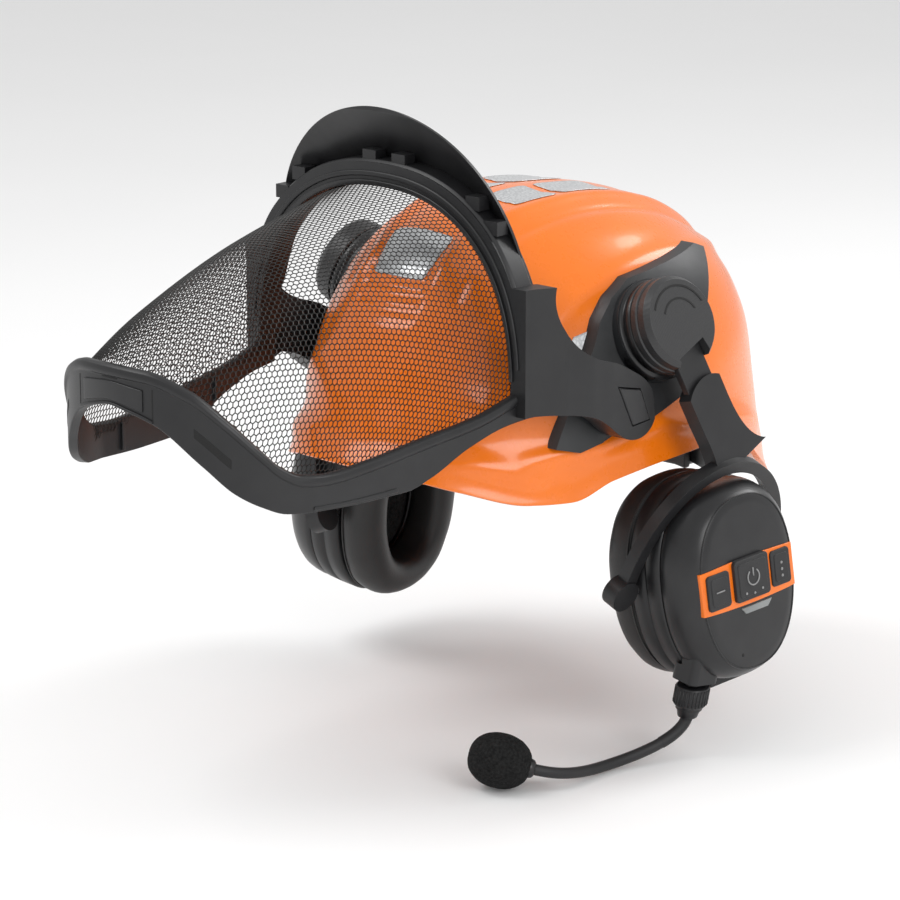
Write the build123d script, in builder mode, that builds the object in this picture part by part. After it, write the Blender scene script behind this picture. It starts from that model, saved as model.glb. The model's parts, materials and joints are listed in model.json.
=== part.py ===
"""Forestry helmet: shell and harness, tilting mesh visor, and two sprung ear cups, one with a boom microphone.

Frame: +Z up, the wearer faces -Y, +X is the wearer's left. The origin is the middle of the head,
level with the tip of the front brim.
"""
import os
from math import atan2, copysign, cos, degrees, pi, radians, sin, sqrt

from build123d import *

os.makedirs("parts", exist_ok=True)

# ---------------------------------------------------------------- driving dimensions (mm, degrees)
SHELL_WALL = 2.6
# Level sections of the shell: height, front, rear, half width, and where the section is widest.
SHELL_LEVELS = [
    (-64, -170, 137, 107, -5),
    (-30, -170, 130, 106, -5),
    (0, -167, 121, 104.5, -5),
    (14, -158, 119.5, 102.5, -5),
    (40, -152, 116, 99, -5),
    (66, -141, 104, 92.5, -5),
    (88, -126, 85, 81, -8),
    (103, -112, 64, 66, -14),
    (114, -97, 42, 48, -24),
    (121, -78, 14, 29, -32),
    (124.5, -55, -18, 9, -38),
]
CROWN = SHELL_LEVELS[-1][0]
# Lower edge of the shell seen from the side: brim tip, temple, over the ear, nape.
SHELL_EDGE = [(-185, 3), (-168, 0), (-141, -10), (-112, -19), (-90, -20), (-66, -12), (-30, -7),
              (12, -5), (38, -11), (70, -31), (100, -45), (160, -52)]

HEAD_MIDDLE = -10                       # y of the middle of the headband
BAND_OUTER = (83, 101)                  # half width and half length of the headband
BAND_WALL = 2.2
BAND_LOW, BAND_HIGH = -6, 24
BAND_REAR = 38                          # the band is open behind this y
STRAP_WIDTH, STRAP_THICK, STRAP_TOP = 20, 1.4, 88
HANGER_ANGLES = (-50, 50, 130, 230)     # round the band, 0 = wearer's left

NAPE_OUTER = (92, 108)
NAPE_MIDDLE = -14
NAPE_WALL = 2.0
KNOB_Z, KNOB_RADIUS, KNOB_DEPTH = -37, 15, 12
HOUSING_FRONT, HOUSING_DEPTH = 94.2, 11
KNOB_SHAFT = 5.0
RUNNING_FIT = 0.05                      # radial clearance of every pin and shaft
BODY_GAP = 0.3                          # clearance between parts that move past each other

VISOR_PIVOT_Y, VISOR_PIVOT_Z = -66, 30
VISOR_ARM_INNER, VISOR_ARM_OUTER = 98.8, 112
VISOR_PIN = 4.0
ARCH_BASE, ARCH_TOP, ARCH_HALF = 46, 138.5, 87.5    # mesh side edge of the visor arch
ARCH_POWER = 2.3
ARCH_WIDE, ARCH_FRONT, ARCH_REAR = 9.5, -134, -118
RIM_CORNER = (72, -262, 28)             # where the mesh turns from the side to the front
RIM_NOSE = (0, -318, 79)                # middle of the front edge of the mesh
MESH_THICK = 0.8
PEAK_THICK = 1.6

EAR_YAW, HUB_TILT = 6, 22               # hub axis: turned forwards, tilted up
HUB_CENTRE = (101, -35.5, 62.5)
HUB_RADIUS = 25
SWIVEL_PIN, SWING_PIN = 5.0, 1.6
SWING_DEPTH, SWING_DROP = 14, 12        # swing pin from the hub centre, along and across its axis
ARM_OUT, ARM_REAR = 11, 22              # lean of the arm, outwards and backwards
TONGUE_WIDE, TONGUE_THICK = 21, 4.0
ARM_THICK = 8.0
CROTCH = 74                             # along the arm, from the swing pin to the fork

CUP_CENTRE = (113, -15, -70)
CUP_TILT, CUP_LEAN = 6, 4               # outer face turned up; oval leaned forwards at the top
FORK_SLANT = 20
FORK_PIN = 3.0
CUP_HALF = (44, 54)                     # half width and half height of the cup body
CUP_WALL = 2.4
CUSHION_BACK, CUSHION_FACE = -4.3, -27
EAR_HOLE = (21, 31)
SEAM = 17                               # between the cup body and its outer cover
FACE = 38                               # outer face of the cup
KEY_TRAVEL = 1.2


def save(builder, name):
    """Label a finished piece and write it to its own file."""
    builder.part.label = name
    export_step(builder.part, f"parts/{name}.step")
    return builder.part


def save_pair(builder, name):
    """Write the wearer's left piece and its mirror image on the right."""
    save(builder, f"{name}_left")
    with BuildPart() as other:
        mirror(builder.part, about=Plane.YZ)
    save(other, f"{name}_right")


def closed_box(width, depth, height, at, mode=Mode.ADD):
    """Box of the given size with its middle at the given point."""
    with Locations(at):
        Box(width, depth, height, mode=mode)


# ---------------------------------------------------------------- shell
def dome(grow):
    """Solid within the shell's outer surface, moved outwards by grow."""
    with BuildPart() as solid:
        for height, front, rear, half_width, middle in SHELL_LEVELS:
            lift = grow * max(0, height) / CROWN
            with BuildSketch(Plane.XY.offset(height + lift)):
                with BuildLine():
                    EllipticalCenterArc((0, middle), half_width + grow, middle - front + grow, 180, arc_size=180)
                    EllipticalCenterArc((0, middle), half_width + grow, rear - middle + grow, 0, arc_size=180)
                make_face()
        loft()
    return solid.part


outside = dome(0)
inside = dome(-SHELL_WALL)

with BuildPart() as shell:
    add(outside)
    add(inside, mode=Mode.SUBTRACT)
    with BuildSketch(Plane.YZ):
        with BuildLine():
            Polyline(SHELL_EDGE + [(160, -120), (-185, -120)], close=True)
        make_face()
    extrude(amount=130, both=True, mode=Mode.SUBTRACT)
save(shell, "shell")


def skin_patch(outline, plane, depth, thickness):
    """Foil that follows the shell: the outline is pushed through the shell and kept where it is proud."""
    skin = dome(thickness)
    with BuildPart() as patch:
        with BuildSketch(plane):
            with BuildLine():
                Polyline(outline, close=True)
            make_face()
        extrude(amount=depth)
        add(skin, mode=Mode.INTERSECT)
        add(outside, mode=Mode.SUBTRACT)
    return patch


FOIL = 0.4
front_foil = skin_patch([(-21, 94), (21, 94), (17, 111), (-17, 111)], Plane.XZ, 150, FOIL)
save(front_foil, "front_reflector")

with BuildPart() as crown_foils:
    for outline in ([(4, -72), (26, -66), (29, -30), (6, -30)], [(6, -26), (29, -26), (27, 6), (6, 6)]):
        for side in (1, -1):
            corners = [(side * x, y) for x, y in outline]
            add(skin_patch(corners, Plane.XY.offset(60), 80, FOIL).part)
save(crown_foils, "crown_reflectors")


# ---------------------------------------------------------------- harness
def band_ring(outer, wall, middle):
    """Flat ring sketch of a head band round the middle."""
    with Locations((0, middle)):
        Ellipse(*outer)
        Ellipse(outer[0] - wall, outer[1] - wall, mode=Mode.SUBTRACT)


with BuildPart() as headband:
    with BuildSketch(Plane.XY.offset(BAND_LOW)):
        band_ring(BAND_OUTER, BAND_WALL, HEAD_MIDDLE)
        with Locations((0, BAND_REAR + 100)):
            Rectangle(250, 200, mode=Mode.SUBTRACT)
    extrude(amount=BAND_HIGH - BAND_LOW)
save(headband, "headband")

PAD_THICK = 3.6
with BuildPart() as sweatband:
    with BuildSketch(Plane.XY.offset(BAND_LOW + 2)):
        band_ring((BAND_OUTER[0] - BAND_WALL, BAND_OUTER[1] - BAND_WALL), PAD_THICK, HEAD_MIDDLE)
        with Locations((0, -45 + 100)):
            Rectangle(250, 200, mode=Mode.SUBTRACT)
    extrude(amount=BAND_HIGH - BAND_LOW - 4)
save(sweatband, "sweatband")


def on_band(angle, grow):
    """Point over the middle of the headband wall, at an angle from the wearer's left."""
    reach_x = BAND_OUTER[0] - BAND_WALL / 2 + grow
    reach_y = BAND_OUTER[1] - BAND_WALL / 2 + grow
    return reach_x * cos(radians(angle)), HEAD_MIDDLE + reach_y * sin(radians(angle))


STRAP_LIFTS = {-50: 0, 0: 0.9, 50: -0.9}        # the straps are woven one over the other at the crown
with BuildPart() as cradle_straps:
    for angle, lift in STRAP_LIFTS.items():
        end_x, end_y = on_band(angle, 0.4)
        reach = sqrt(end_x ** 2 + (end_y - HEAD_MIDDLE) ** 2)
        across = Plane((0, HEAD_MIDDLE, 0), x_dir=(end_x, end_y - HEAD_MIDDLE, 0),
                       z_dir=(end_y - HEAD_MIDDLE, -end_x, 0))
        half = STRAP_THICK / 2
        with BuildSketch(across):
            with BuildLine():
                outer_arc = ThreePointArc((-reach - half, BAND_HIGH), (0, STRAP_TOP + lift), (reach + half, BAND_HIGH))
                inner_arc = ThreePointArc((-reach + half, BAND_HIGH), (0, STRAP_TOP + lift - STRAP_THICK),
                                          (reach - half, BAND_HIGH))
                Line(outer_arc @ 0, inner_arc @ 0)
                Line(outer_arc @ 1, inner_arc @ 1)
            make_face()
        extrude(amount=STRAP_WIDTH / 2, both=True)
save(cradle_straps, "cradle_straps")

HANGER_HIGH = 12
with BuildPart() as harness_hangers:
    for angle in HANGER_ANGLES:
        near_x, near_y = on_band(angle, -1)
        far_x, far_y = on_band(angle, 60)
        heading = degrees(atan2(far_y - near_y, far_x - near_x))
        length = sqrt((far_x - near_x) ** 2 + (far_y - near_y) ** 2)
        with BuildSketch(Plane.XY.offset(BAND_HIGH - HANGER_HIGH)):
            with Locations(Location(((near_x + far_x) / 2, (near_y + far_y) / 2), heading)):
                Rectangle(length, 18)
        extrude(amount=HANGER_HIGH)
    add(inside, mode=Mode.INTERSECT)
    with BuildSketch(Plane.XY.offset(-20)):
        with Locations((0, HEAD_MIDDLE)):
            Ellipse(*BAND_OUTER)
    extrude(amount=HANGER_HIGH * 6, mode=Mode.SUBTRACT)
save(harness_hangers, "harness_hangers")

# ---------------------------------------------------------------- nape adjuster
with BuildPart() as nape_band:
    with BuildSketch(Plane.XY.offset(-60)):
        band_ring(NAPE_OUTER, NAPE_WALL, NAPE_MIDDLE)
    extrude(amount=90)
    with BuildSketch(Plane.YZ):
        with BuildLine():
            Polyline((14, 16), (40, 6), (84, -26), (110, -28), (110, -46), (78, -46), (34, -12), (14, -2),
                     close=True)
        make_face()
    extrude(amount=120, both=True, mode=Mode.INTERSECT)
save(nape_band, "nape_band")

housing_middle = HOUSING_FRONT + HOUSING_DEPTH / 2
with BuildPart() as ratchet_housing:
    closed_box(48, HOUSING_DEPTH, 30, (0, housing_middle, KNOB_Z))
    fillet(ratchet_housing.edges().filter_by(Axis.Y), 9)
    with BuildSketch(Plane.XZ.offset(-HOUSING_FRONT - 2)):
        with Locations((0, KNOB_Z)):
            Circle(9)
    extrude(amount=-HOUSING_DEPTH + 4, mode=Mode.SUBTRACT)
    with BuildSketch(Plane.XZ.offset(-HOUSING_FRONT)):
        with Locations((0, KNOB_Z)):
            Circle(KNOB_SHAFT + RUNNING_FIT)
    extrude(amount=-HOUSING_DEPTH, mode=Mode.SUBTRACT)
save(ratchet_housing, "ratchet_housing")

with BuildPart() as nape_pad:
    with BuildSketch(Plane.XY.offset(KNOB_Z - 12)):
        band_ring((NAPE_OUTER[0] - NAPE_WALL, NAPE_OUTER[1] - NAPE_WALL), 5, NAPE_MIDDLE)
        Rectangle(56, 300, mode=Mode.INTERSECT)
        with Locations((0, -150)):
            Rectangle(200, 300, mode=Mode.SUBTRACT)
    extrude(amount=24)
save(nape_pad, "nape_pad")

knob_front = HOUSING_FRONT + HOUSING_DEPTH + BODY_GAP
with BuildPart() as ratchet_knob:
    with BuildSketch(Plane.XZ.offset(-knob_front)):
        with Locations((0, KNOB_Z)):
            Circle(KNOB_RADIUS)
    extrude(amount=-KNOB_DEPTH)
    fillet(ratchet_knob.faces().sort_by(Axis.Y)[-1].edges(), 2)
    with BuildSketch(Plane.XZ.offset(-knob_front)):
        with Locations((0, KNOB_Z)):
            with PolarLocations(KNOB_RADIUS + 1.2, 16):
                Circle(2)
    extrude(amount=-KNOB_DEPTH, mode=Mode.SUBTRACT)
save(ratchet_knob, "ratchet_knob")

with BuildPart() as ratchet_pinion:
    with BuildSketch(Plane.XZ.offset(-HOUSING_FRONT - 0.5)):
        with Locations((0, KNOB_Z)):
            Circle(KNOB_SHAFT)
    extrude(amount=-HOUSING_DEPTH - BODY_GAP + 0.5)
    with BuildSketch(Plane.XZ.offset(-HOUSING_FRONT - 3)):
        with Locations((0, KNOB_Z)):
            Circle(6.6)
            with PolarLocations(7, 12):
                Rectangle(2.4, 1.6)
    extrude(amount=-HOUSING_DEPTH + 6)
save(ratchet_pinion, "ratchet_pinion")

# ---------------------------------------------------------------- side plates and their fixed hubs
yaw, tilt = radians(EAR_YAW), radians(HUB_TILT)
hub_axis = Vector(cos(yaw) * cos(tilt), -sin(yaw) * cos(tilt), sin(tilt))
across_ear = Vector(sin(yaw), cos(yaw), 0)          # level, pointing backwards
hub_down = hub_axis.cross(across_ear) * -1
hub = Plane(HUB_CENTRE, x_dir=across_ear, z_dir=hub_axis)


def hub_slice(start, end, radius, mode=Mode.ADD):
    """Round slice of the hub, between two distances along its axis."""
    with Locations(hub.offset(start)):
        Cylinder(radius, end - start, align=(Align.CENTER, Align.CENTER, Align.MIN), mode=mode)


def visor_disc(from_x, to_x, radius, mode=Mode.ADD):
    """Disc about the visor pivot on the wearer's left, between two distances from the middle."""
    with Locations(Plane((from_x, VISOR_PIVOT_Y, VISOR_PIVOT_Z), x_dir=(0, 1, 0), z_dir=(1, 0, 0))):
        Cylinder(radius, to_x - from_x, align=(Align.CENTER, Align.CENTER, Align.MIN), mode=mode)


def side_prism(outline, from_x, to_x, mode=Mode.ADD):
    """Solid with the given outline as (y, z) points, between two distances from the middle."""
    with BuildSketch(Plane((from_x, 0, 0), x_dir=(0, 1, 0), z_dir=(1, 0, 0))) as side_view:
        with BuildLine():
            Polyline(outline, close=True)
        make_face()
    extrude(side_view.sketch, amount=to_x - from_x, mode=mode)


def plan_prism(outline, from_z, to_z, mode=Mode.ADD):
    """Solid with the given outline as (x, y) points, between two heights."""
    with BuildSketch(Plane.XY.offset(from_z)) as plan_view:
        with BuildLine():
            Polyline(outline, close=True)
        make_face()
    extrude(plan_view.sketch, amount=to_z - from_z, mode=mode)


PLATE_PROUD = 6
PLATE_OUTLINE = [(28, 93), (20, 96), (-42, 88), (-56, 80), (-66, 70), (-77, 52), (-100, 9), (-88, 6),
                 (-66, 12), (-42, 18), (-20, 26), (8, 66)]
PIVOT_RECESS = 22
PIVOT_SEAT = VISOR_ARM_INNER - 0.6
plate_skin = dome(PLATE_PROUD)
with BuildPart() as side_plate:
    side_prism(PLATE_OUTLINE, 60, 120)
    add(plate_skin, mode=Mode.INTERSECT)
    hub_slice(-30, 0, HUB_RADIUS + 1.5)
    visor_disc(PIVOT_SEAT, 140, PIVOT_RECESS, Mode.SUBTRACT)
    visor_disc(70, VISOR_ARM_OUTER - 7, VISOR_PIN)
    add(outside, mode=Mode.SUBTRACT)
save_pair(side_plate, "side_plate")

with BuildPart() as side_foils:
    for side in (1, -1):
        plane = Plane((side * 50, 0, 0), x_dir=(0, 1, 0), z_dir=(side, 0, 0))
        corners = [(-104, 22), (-84, 56), (-60, 70), (-60, 50), (-90, 25)]
        add(skin_patch([(y, side * z) for y, z in corners], plane, 70, FOIL).part)
    add(side_plate.part, mode=Mode.SUBTRACT)
    mirror(side_plate.part, about=Plane.YZ, mode=Mode.SUBTRACT)
save(side_foils, "side_reflectors")

HUB_BASE, RING_TOP, CAP_TOP = 7, 12, 19.5
with BuildPart() as hub_base:
    hub_slice(0, HUB_BASE, HUB_RADIUS)
    hub_slice(HUB_BASE, RING_TOP - 0.5, SWIVEL_PIN)
save_pair(hub_base, "hub_base")

# ---------------------------------------------------------------- arm frame (wearer's left)
arm_lean, arm_back = radians(ARM_OUT), radians(ARM_REAR)
arm_down = Vector(sin(arm_lean), cos(arm_lean) * sin(arm_back), -cos(arm_lean) * cos(arm_back)).normalized()
swing_axis = hub_axis.cross(arm_down).normalized()
arm_outward = arm_down.cross(swing_axis)
swing_centre = Vector(*HUB_CENTRE) + hub_axis * SWING_DEPTH + hub_down * SWING_DROP
arm = Plane(swing_centre, x_dir=swing_axis, z_dir=arm_outward)       # local -y runs down the arm
slot_down = (arm_down - hub_axis * arm_down.dot(hub_axis)).normalized()
slot = Plane(swing_centre, x_dir=slot_down, z_dir=hub_axis)          # local x runs down the hub's slot
swing_line = Plane(swing_centre, x_dir=arm_outward, z_dir=swing_axis)

KNUCKLE = 3.4
SLOT_HALF = TONGUE_WIDE / 2 + BODY_GAP
SLOT_FLOOR = 8.4 - SWING_DEPTH
LIP = KNUCKLE + BODY_GAP


def cut_slot():
    """Open the hub's slot for the arm: a pocket round the knuckle, open outwards below it."""
    with Locations(slot):
        with Locations((-LIP, 0, SLOT_FLOOR)):
            Box(60, 2 * SLOT_HALF, LIP - SLOT_FLOOR, mode=Mode.SUBTRACT,
                align=(Align.MIN, Align.CENTER, Align.MIN))
        with Locations((LIP - 1, 0, SLOT_FLOOR)):
            Box(60, 2 * SLOT_HALF, 40, mode=Mode.SUBTRACT, align=(Align.MIN, Align.CENTER, Align.MIN))


def swing_rod(radius, half_length, mode=Mode.ADD):
    """Round rod along the swing axis."""
    with Locations(swing_line):
        Cylinder(radius, 2 * half_length, mode=mode)


PIN_HALF = SLOT_HALF + 4
with BuildPart() as hub_ring:
    hub_slice(HUB_BASE + BODY_GAP, RING_TOP, HUB_RADIUS)
    chamfer(hub_ring.edges().filter_by(GeomType.CIRCLE), 0.6)
    hub_slice(HUB_BASE, RING_TOP, SWIVEL_PIN + RUNNING_FIT, Mode.SUBTRACT)
    cut_slot()
save_pair(hub_ring, "hub_ring")

with BuildPart() as hub_cap:
    hub_slice(RING_TOP, CAP_TOP - 3, HUB_RADIUS - 0.8)
    with Locations(hub.offset(CAP_TOP - 3)):
        Cone(HUB_RADIUS - 0.8, HUB_RADIUS - 3, 3, align=(Align.CENTER, Align.CENTER, Align.MIN))
    cut_slot()
    swing_rod(SWING_PIN, PIN_HALF, Mode.SUBTRACT)
save_pair(hub_cap, "hub_cap")

with BuildPart() as swing_pin:
    swing_rod(SWING_PIN, PIN_HALF)
save_pair(swing_pin, "swing_pin")

TONGUE_LONG = 45
with BuildPart() as arm_tongue:
    swing_rod(KNUCKLE, TONGUE_WIDE / 2)
    with Locations(arm):
        with Locations((0, -TONGUE_LONG / 2, 0)):
            Box(TONGUE_WIDE, TONGUE_LONG, TONGUE_THICK)
    swing_rod(SWING_PIN + RUNNING_FIT, TONGUE_WIDE, Mode.SUBTRACT)
save_pair(arm_tongue, "arm_tongue")

# ---------------------------------------------------------------- fork
TILT_CENTRE = (112, -15, -70)
FORK_INNER, FORK_OUTER = (49, 63.5), (56, 70)
FORK_THICK = 7
EYE_RADIUS, EYE_AT = 8.5, 54.5
slant = radians(FORK_SLANT)
level_out = Vector(cos(yaw), -sin(yaw), 0)
fork_up = level_out * sin(slant) + Vector(0, 0, cos(slant))
fork = Plane(TILT_CENTRE, x_dir=across_ear, z_dir=across_ear.cross(fork_up))
tilt_line = Plane(TILT_CENTRE, x_dir=(0, 0, 1), z_dir=across_ear)

ARM_START, SLEEVE_HALF, SHOULDER_HALF = 20, 13.5, 20
SLEEVE_DEPTH = TONGUE_LONG + 2
with BuildPart() as ear_fork:
    with BuildSketch(arm.offset(-ARM_THICK / 2)):
        with BuildLine():
            top = ThreePointArc((-SLEEVE_HALF, -ARM_START - 5), (0, -ARM_START), (SLEEVE_HALF, -ARM_START - 5))
            right = Spline(top @ 1, (SLEEVE_HALF, -ARM_START - 22), (SHOULDER_HALF + 7, -CROTCH + 2),
                           tangents=((0, -1), (1, -0.6)))
            left = Spline(top @ 0, (-SLEEVE_HALF, -ARM_START - 22), (-SHOULDER_HALF, -CROTCH + 2),
                          tangents=((0, -1), (-1, -0.6)))
            Line(right @ 1, left @ 1)
        make_face()
    extrude(amount=ARM_THICK)
    with Locations(tilt_line):
        Cylinder(FORK_INNER[1] + 2, 200, mode=Mode.SUBTRACT)
    with BuildSketch(fork.offset(-FORK_THICK / 2)):
        Ellipse(*FORK_OUTER)
        Ellipse(*FORK_INNER, mode=Mode.SUBTRACT)
        with Locations((0, -100)):
            Rectangle(200, 200, mode=Mode.SUBTRACT)
    extrude(amount=FORK_THICK)
    with Locations(fork):
        with Locations((EYE_AT, 0, 0), (-EYE_AT, 0, 0)):
            Cylinder(EYE_RADIUS, FORK_THICK + 2)
    with Locations(tilt_line):
        Cylinder(FORK_PIN + RUNNING_FIT, 2 * EYE_AT + 8, mode=Mode.SUBTRACT)
    with Locations(arm):
        with Locations((0, -SLEEVE_DEPTH / 2, 0)):
            Box(TONGUE_WIDE + 2 * RUNNING_FIT, SLEEVE_DEPTH, TONGUE_THICK + 2 * RUNNING_FIT,
                mode=Mode.SUBTRACT)
save_pair(ear_fork, "ear_fork")

# ---------------------------------------------------------------- ear cup
cup_tilt, cup_lean = radians(CUP_TILT), radians(CUP_LEAN)
cup_axis = level_out * cos(cup_tilt) + Vector(0, 0, sin(cup_tilt))
cup_up = cup_axis.cross(across_ear)
cup = Plane(CUP_CENTRE, x_dir=across_ear * cos(cup_lean) + cup_up * sin(cup_lean), z_dir=cup_axis)
EGG = 0.04                              # the cup is wider at the top
OVAL_POWER = 2.3


def oval(half_width, half_height):
    """Egg-shaped rounded oval, as a sketch face."""
    with BuildLine() as ring:
        points = []
        for step in range(16):
            angle = 2 * pi * step / 16
            across = copysign(abs(cos(angle)) ** (2 / OVAL_POWER), cos(angle))
            up = copysign(abs(sin(angle)) ** (2 / OVAL_POWER), sin(angle))
            points.append((half_width * across * (1 + EGG * up), half_height * up))
        Spline(points, periodic=True)
    make_face(ring.edges())


def oval_block(sections, mode=Mode.ADD):
    """Solid through ovals given as (depth, half width, half height)."""
    with BuildPart(mode=Mode.PRIVATE) as block:
        for depth, half_width, half_height in sections:
            with BuildSketch(cup.offset(depth)):
                oval(half_width, half_height)
        loft(ruled=True)
    add(block.part, mode=mode)


def cup_box(corner_a, corner_b, mode=Mode.ADD):
    """Box in the cup's own frame between two corners given as (across, up, depth)."""
    size = [abs(b - a) for a, b in zip(corner_a, corner_b)]
    middle = tuple((a + b) / 2 for a, b in zip(corner_a, corner_b))
    with Locations(cup):
        with Locations(middle):
            Box(*size, mode=mode)


BODY_OUTER = [(CUSHION_BACK + 0.3, CUP_HALF[0], CUP_HALF[1]), (SEAM, CUP_HALF[0] - 1, CUP_HALF[1] - 1)]
COVER_OUTER = [(SEAM + 0.2, 42.5, 52.5), (29, 40.5, 51), (FACE, 33, 46)]


def shrunk(sections, wall, from_depth, to_depth):
    """The same ovals drawn in by the wall, with new first and last depths."""
    smaller = [[depth, half_width - wall, half_height - wall] for depth, half_width, half_height in sections]
    smaller[0][0], smaller[-1][0] = from_depth, to_depth
    return smaller


BACK_FLOOR = -1.6
with BuildPart() as cup_housing:
    oval_block(BODY_OUTER)
    oval_block(shrunk(BODY_OUTER, CUP_WALL, BACK_FLOOR, SEAM + 1), Mode.SUBTRACT)
    oval_block([(CUSHION_BACK - 1, *EAR_HOLE), (BACK_FLOOR + 1, *EAR_HOLE)], Mode.SUBTRACT)
    with Locations(tilt_line):
        Cylinder(FORK_PIN, 200, mode=Mode.SUBTRACT)
save_pair(cup_housing, "cup_housing")

with BuildPart() as fork_pins:
    with Locations(tilt_line):
        with Locations((0, 0, -CUP_HALF[0] - 0.5), (0, 0, CUP_HALF[0] + 0.5)):
            Cylinder(FORK_PIN, 14)
save_pair(fork_pins, "fork_pins")

with BuildPart() as ear_liner:
    oval_block([(BACK_FLOOR, EAR_HOLE[0] + 3, EAR_HOLE[1] + 3), (BACK_FLOOR + 3, EAR_HOLE[0] + 3, EAR_HOLE[1] + 3)])
save_pair(ear_liner, "ear_liner")

with BuildPart() as speaker:
    with Locations(cup.offset(BACK_FLOOR + 3)):
        Cylinder(19, 5, align=(Align.CENTER, Align.CENTER, Align.MIN))
        Cylinder(11, 10, align=(Align.CENTER, Align.CENTER, Align.MIN))
save_pair(speaker, "speaker")

CUSHION_SECTIONS = [(CUSHION_FACE, 37, 47), (-23, 42, 52), (-13, 44.5, 54.5), (-7, 43, 53), (CUSHION_BACK, 41, 51)]
with BuildPart() as ear_cushion:
    oval_block(CUSHION_SECTIONS)
    oval_block([(CUSHION_FACE - 1, *EAR_HOLE), (CUSHION_BACK + 1, *EAR_HOLE)], Mode.SUBTRACT)
save_pair(ear_cushion, "ear_cushion")

# Cut-outs in the left cover: across from, across to, up from, up to, and height of each key.
KEYS = {"power_key": (-13, 13, -9, 14, 3.2), "front_key": (-38 + 6, -15, -9, 11, 2.2),
        "rear_key": (15, 30, -8, 12, 2.2)}
KEY_GAP = 0.35
STRIP_THICK = 1.0


def cover_shell():
    """Hollow outer cover of a cup."""
    oval_block(COVER_OUTER)
    oval_block(shrunk(COVER_OUTER, CUP_WALL, SEAM - 1, FACE - CUP_WALL), Mode.SUBTRACT)


def key_holes(depth_from, depth_to):
    """Openings for the three keys."""
    for across_from, across_to, up_from, up_to, _ in KEYS.values():
        cup_box((across_from, up_from, depth_from), (across_to, up_to, depth_to), Mode.SUBTRACT)


with BuildPart() as cup_cover_left:
    cover_shell()
    key_holes(FACE - 8, FACE + 4)
save(cup_cover_left, "cup_cover_left")

with BuildPart() as plain_cover:
    cover_shell()
with BuildPart() as cup_cover_right:
    mirror(plain_cover.part, about=Plane.YZ)
save(cup_cover_right, "cup_cover_right")

with BuildPart() as accent_strip:
    cup_box((-34, -11, FACE), (32, 16, FACE + STRIP_THICK))
    key_holes(FACE - 1, FACE + 4)
    oval_block([(FACE - 1, 32.4, 46), (FACE + 3, 32.4, 46)], Mode.INTERSECT)
save(accent_strip, "accent_strip")

for name, (across_from, across_to, up_from, up_to, height) in KEYS.items():
    with BuildPart() as key:
        cup_box((across_from + KEY_GAP, up_from + KEY_GAP, FACE - CUP_WALL - 1.5),
                (across_to - KEY_GAP, up_to - KEY_GAP, FACE + height))
        fillet(key.edges().filter_by(Axis((0, 0, 0), tuple(cup_axis))), 1.5)
    save(key, name)

with BuildPart() as light_window:
    with BuildSketch(cup.offset(FACE)):
        with BuildLine():
            Polyline((-8, -12.4), (15, -12.4), (11, -16.4), (-5, -16.4), close=True)
        make_face()
    extrude(amount=0.8)
save(light_window, "light_window")

with BuildPart() as port_cover:
    cup_box((-12, -58, 3), (12, -48, 14))
    oval_block([(-10, CUP_HALF[0], CUP_HALF[1]), (30, CUP_HALF[0], CUP_HALF[1])], Mode.SUBTRACT)
    add(cup_housing.part, mode=Mode.SUBTRACT)
save(port_cover, "port_cover")

BOARD_TOP = FACE - CUP_WALL - 1.5 - KEY_TRAVEL - 0.6
with BuildPart() as circuit_board:
    cup_box((-27, -22, BOARD_TOP - 1.6), (27, 22, BOARD_TOP))
    cup_box((-4, -4, BACK_FLOOR + 13), (4, 4, BOARD_TOP - 1.6))
save(circuit_board, "circuit_board")

with BuildPart() as battery_left:
    cup_box((-18, -28, BACK_FLOOR + 13), (18, 22, BACK_FLOOR + 23))
with BuildPart() as battery:
    mirror(battery_left.part, about=Plane.YZ)
save(battery, "battery")

# ---------------------------------------------------------------- boom microphone
BOOM_TOP = (133, -39, -112.5)
boom_axis = Vector(-0.12, -0.12, -1).normalized()
boom = Plane(BOOM_TOP, x_dir=across_ear, z_dir=boom_axis)
NUT_START, NUT_END, STUB = 8, 26, 4
with BuildPart() as boom_mount:
    with Locations(boom):
        with Locations((0, 0, -4)):
            Box(20, 17, 20)
    fillet(boom_mount.edges().filter_by(Axis((0, 0, 0), tuple(boom_axis))), 4)
    oval_block([(-10, 44.6, 54.6), (SEAM + 0.1, 44.6, 54.6)], Mode.SUBTRACT)
    oval_block(COVER_OUTER, Mode.SUBTRACT)
    with Locations(boom.offset(NUT_START - 4)):
        Cylinder(STUB, 14, align=(Align.CENTER, Align.CENTER, Align.MIN))
save(boom_mount, "boom_mount")

with BuildPart() as boom_nut:
    with Locations(boom.offset(NUT_START + BODY_GAP)):
        Cylinder(8.5, NUT_END - NUT_START - BODY_GAP, align=(Align.CENTER, Align.CENTER, Align.MIN))
        Cylinder(STUB + RUNNING_FIT, 10.4, align=(Align.CENTER, Align.CENTER, Align.MIN), mode=Mode.SUBTRACT)
    chamfer(boom_nut.edges().filter_by(GeomType.CIRCLE).sort_by(Axis.Z)[0], 2)
save(boom_nut, "boom_nut")

TUBE = 3.2
NECK_LOW = (116, -80, -156)
MIC_CENTRE = Vector(90, -144, -145)
TUBE_END = Vector(103, -134, -149)
nut_mouth = Vector(*BOOM_TOP) + boom_axis * NUT_END
mic_axis = (MIC_CENTRE - TUBE_END).normalized()
with BuildPart() as gooseneck:
    with BuildLine():
        neck = Spline(nut_mouth, NECK_LOW, TUBE_END, tangents=(boom_axis, mic_axis),
                      tangent_scalars=(0.7, 1))
    with BuildSketch(Plane(neck @ 0, z_dir=neck % 0)):
        Circle(TUBE)
    sweep()
save(gooseneck, "gooseneck")

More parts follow.
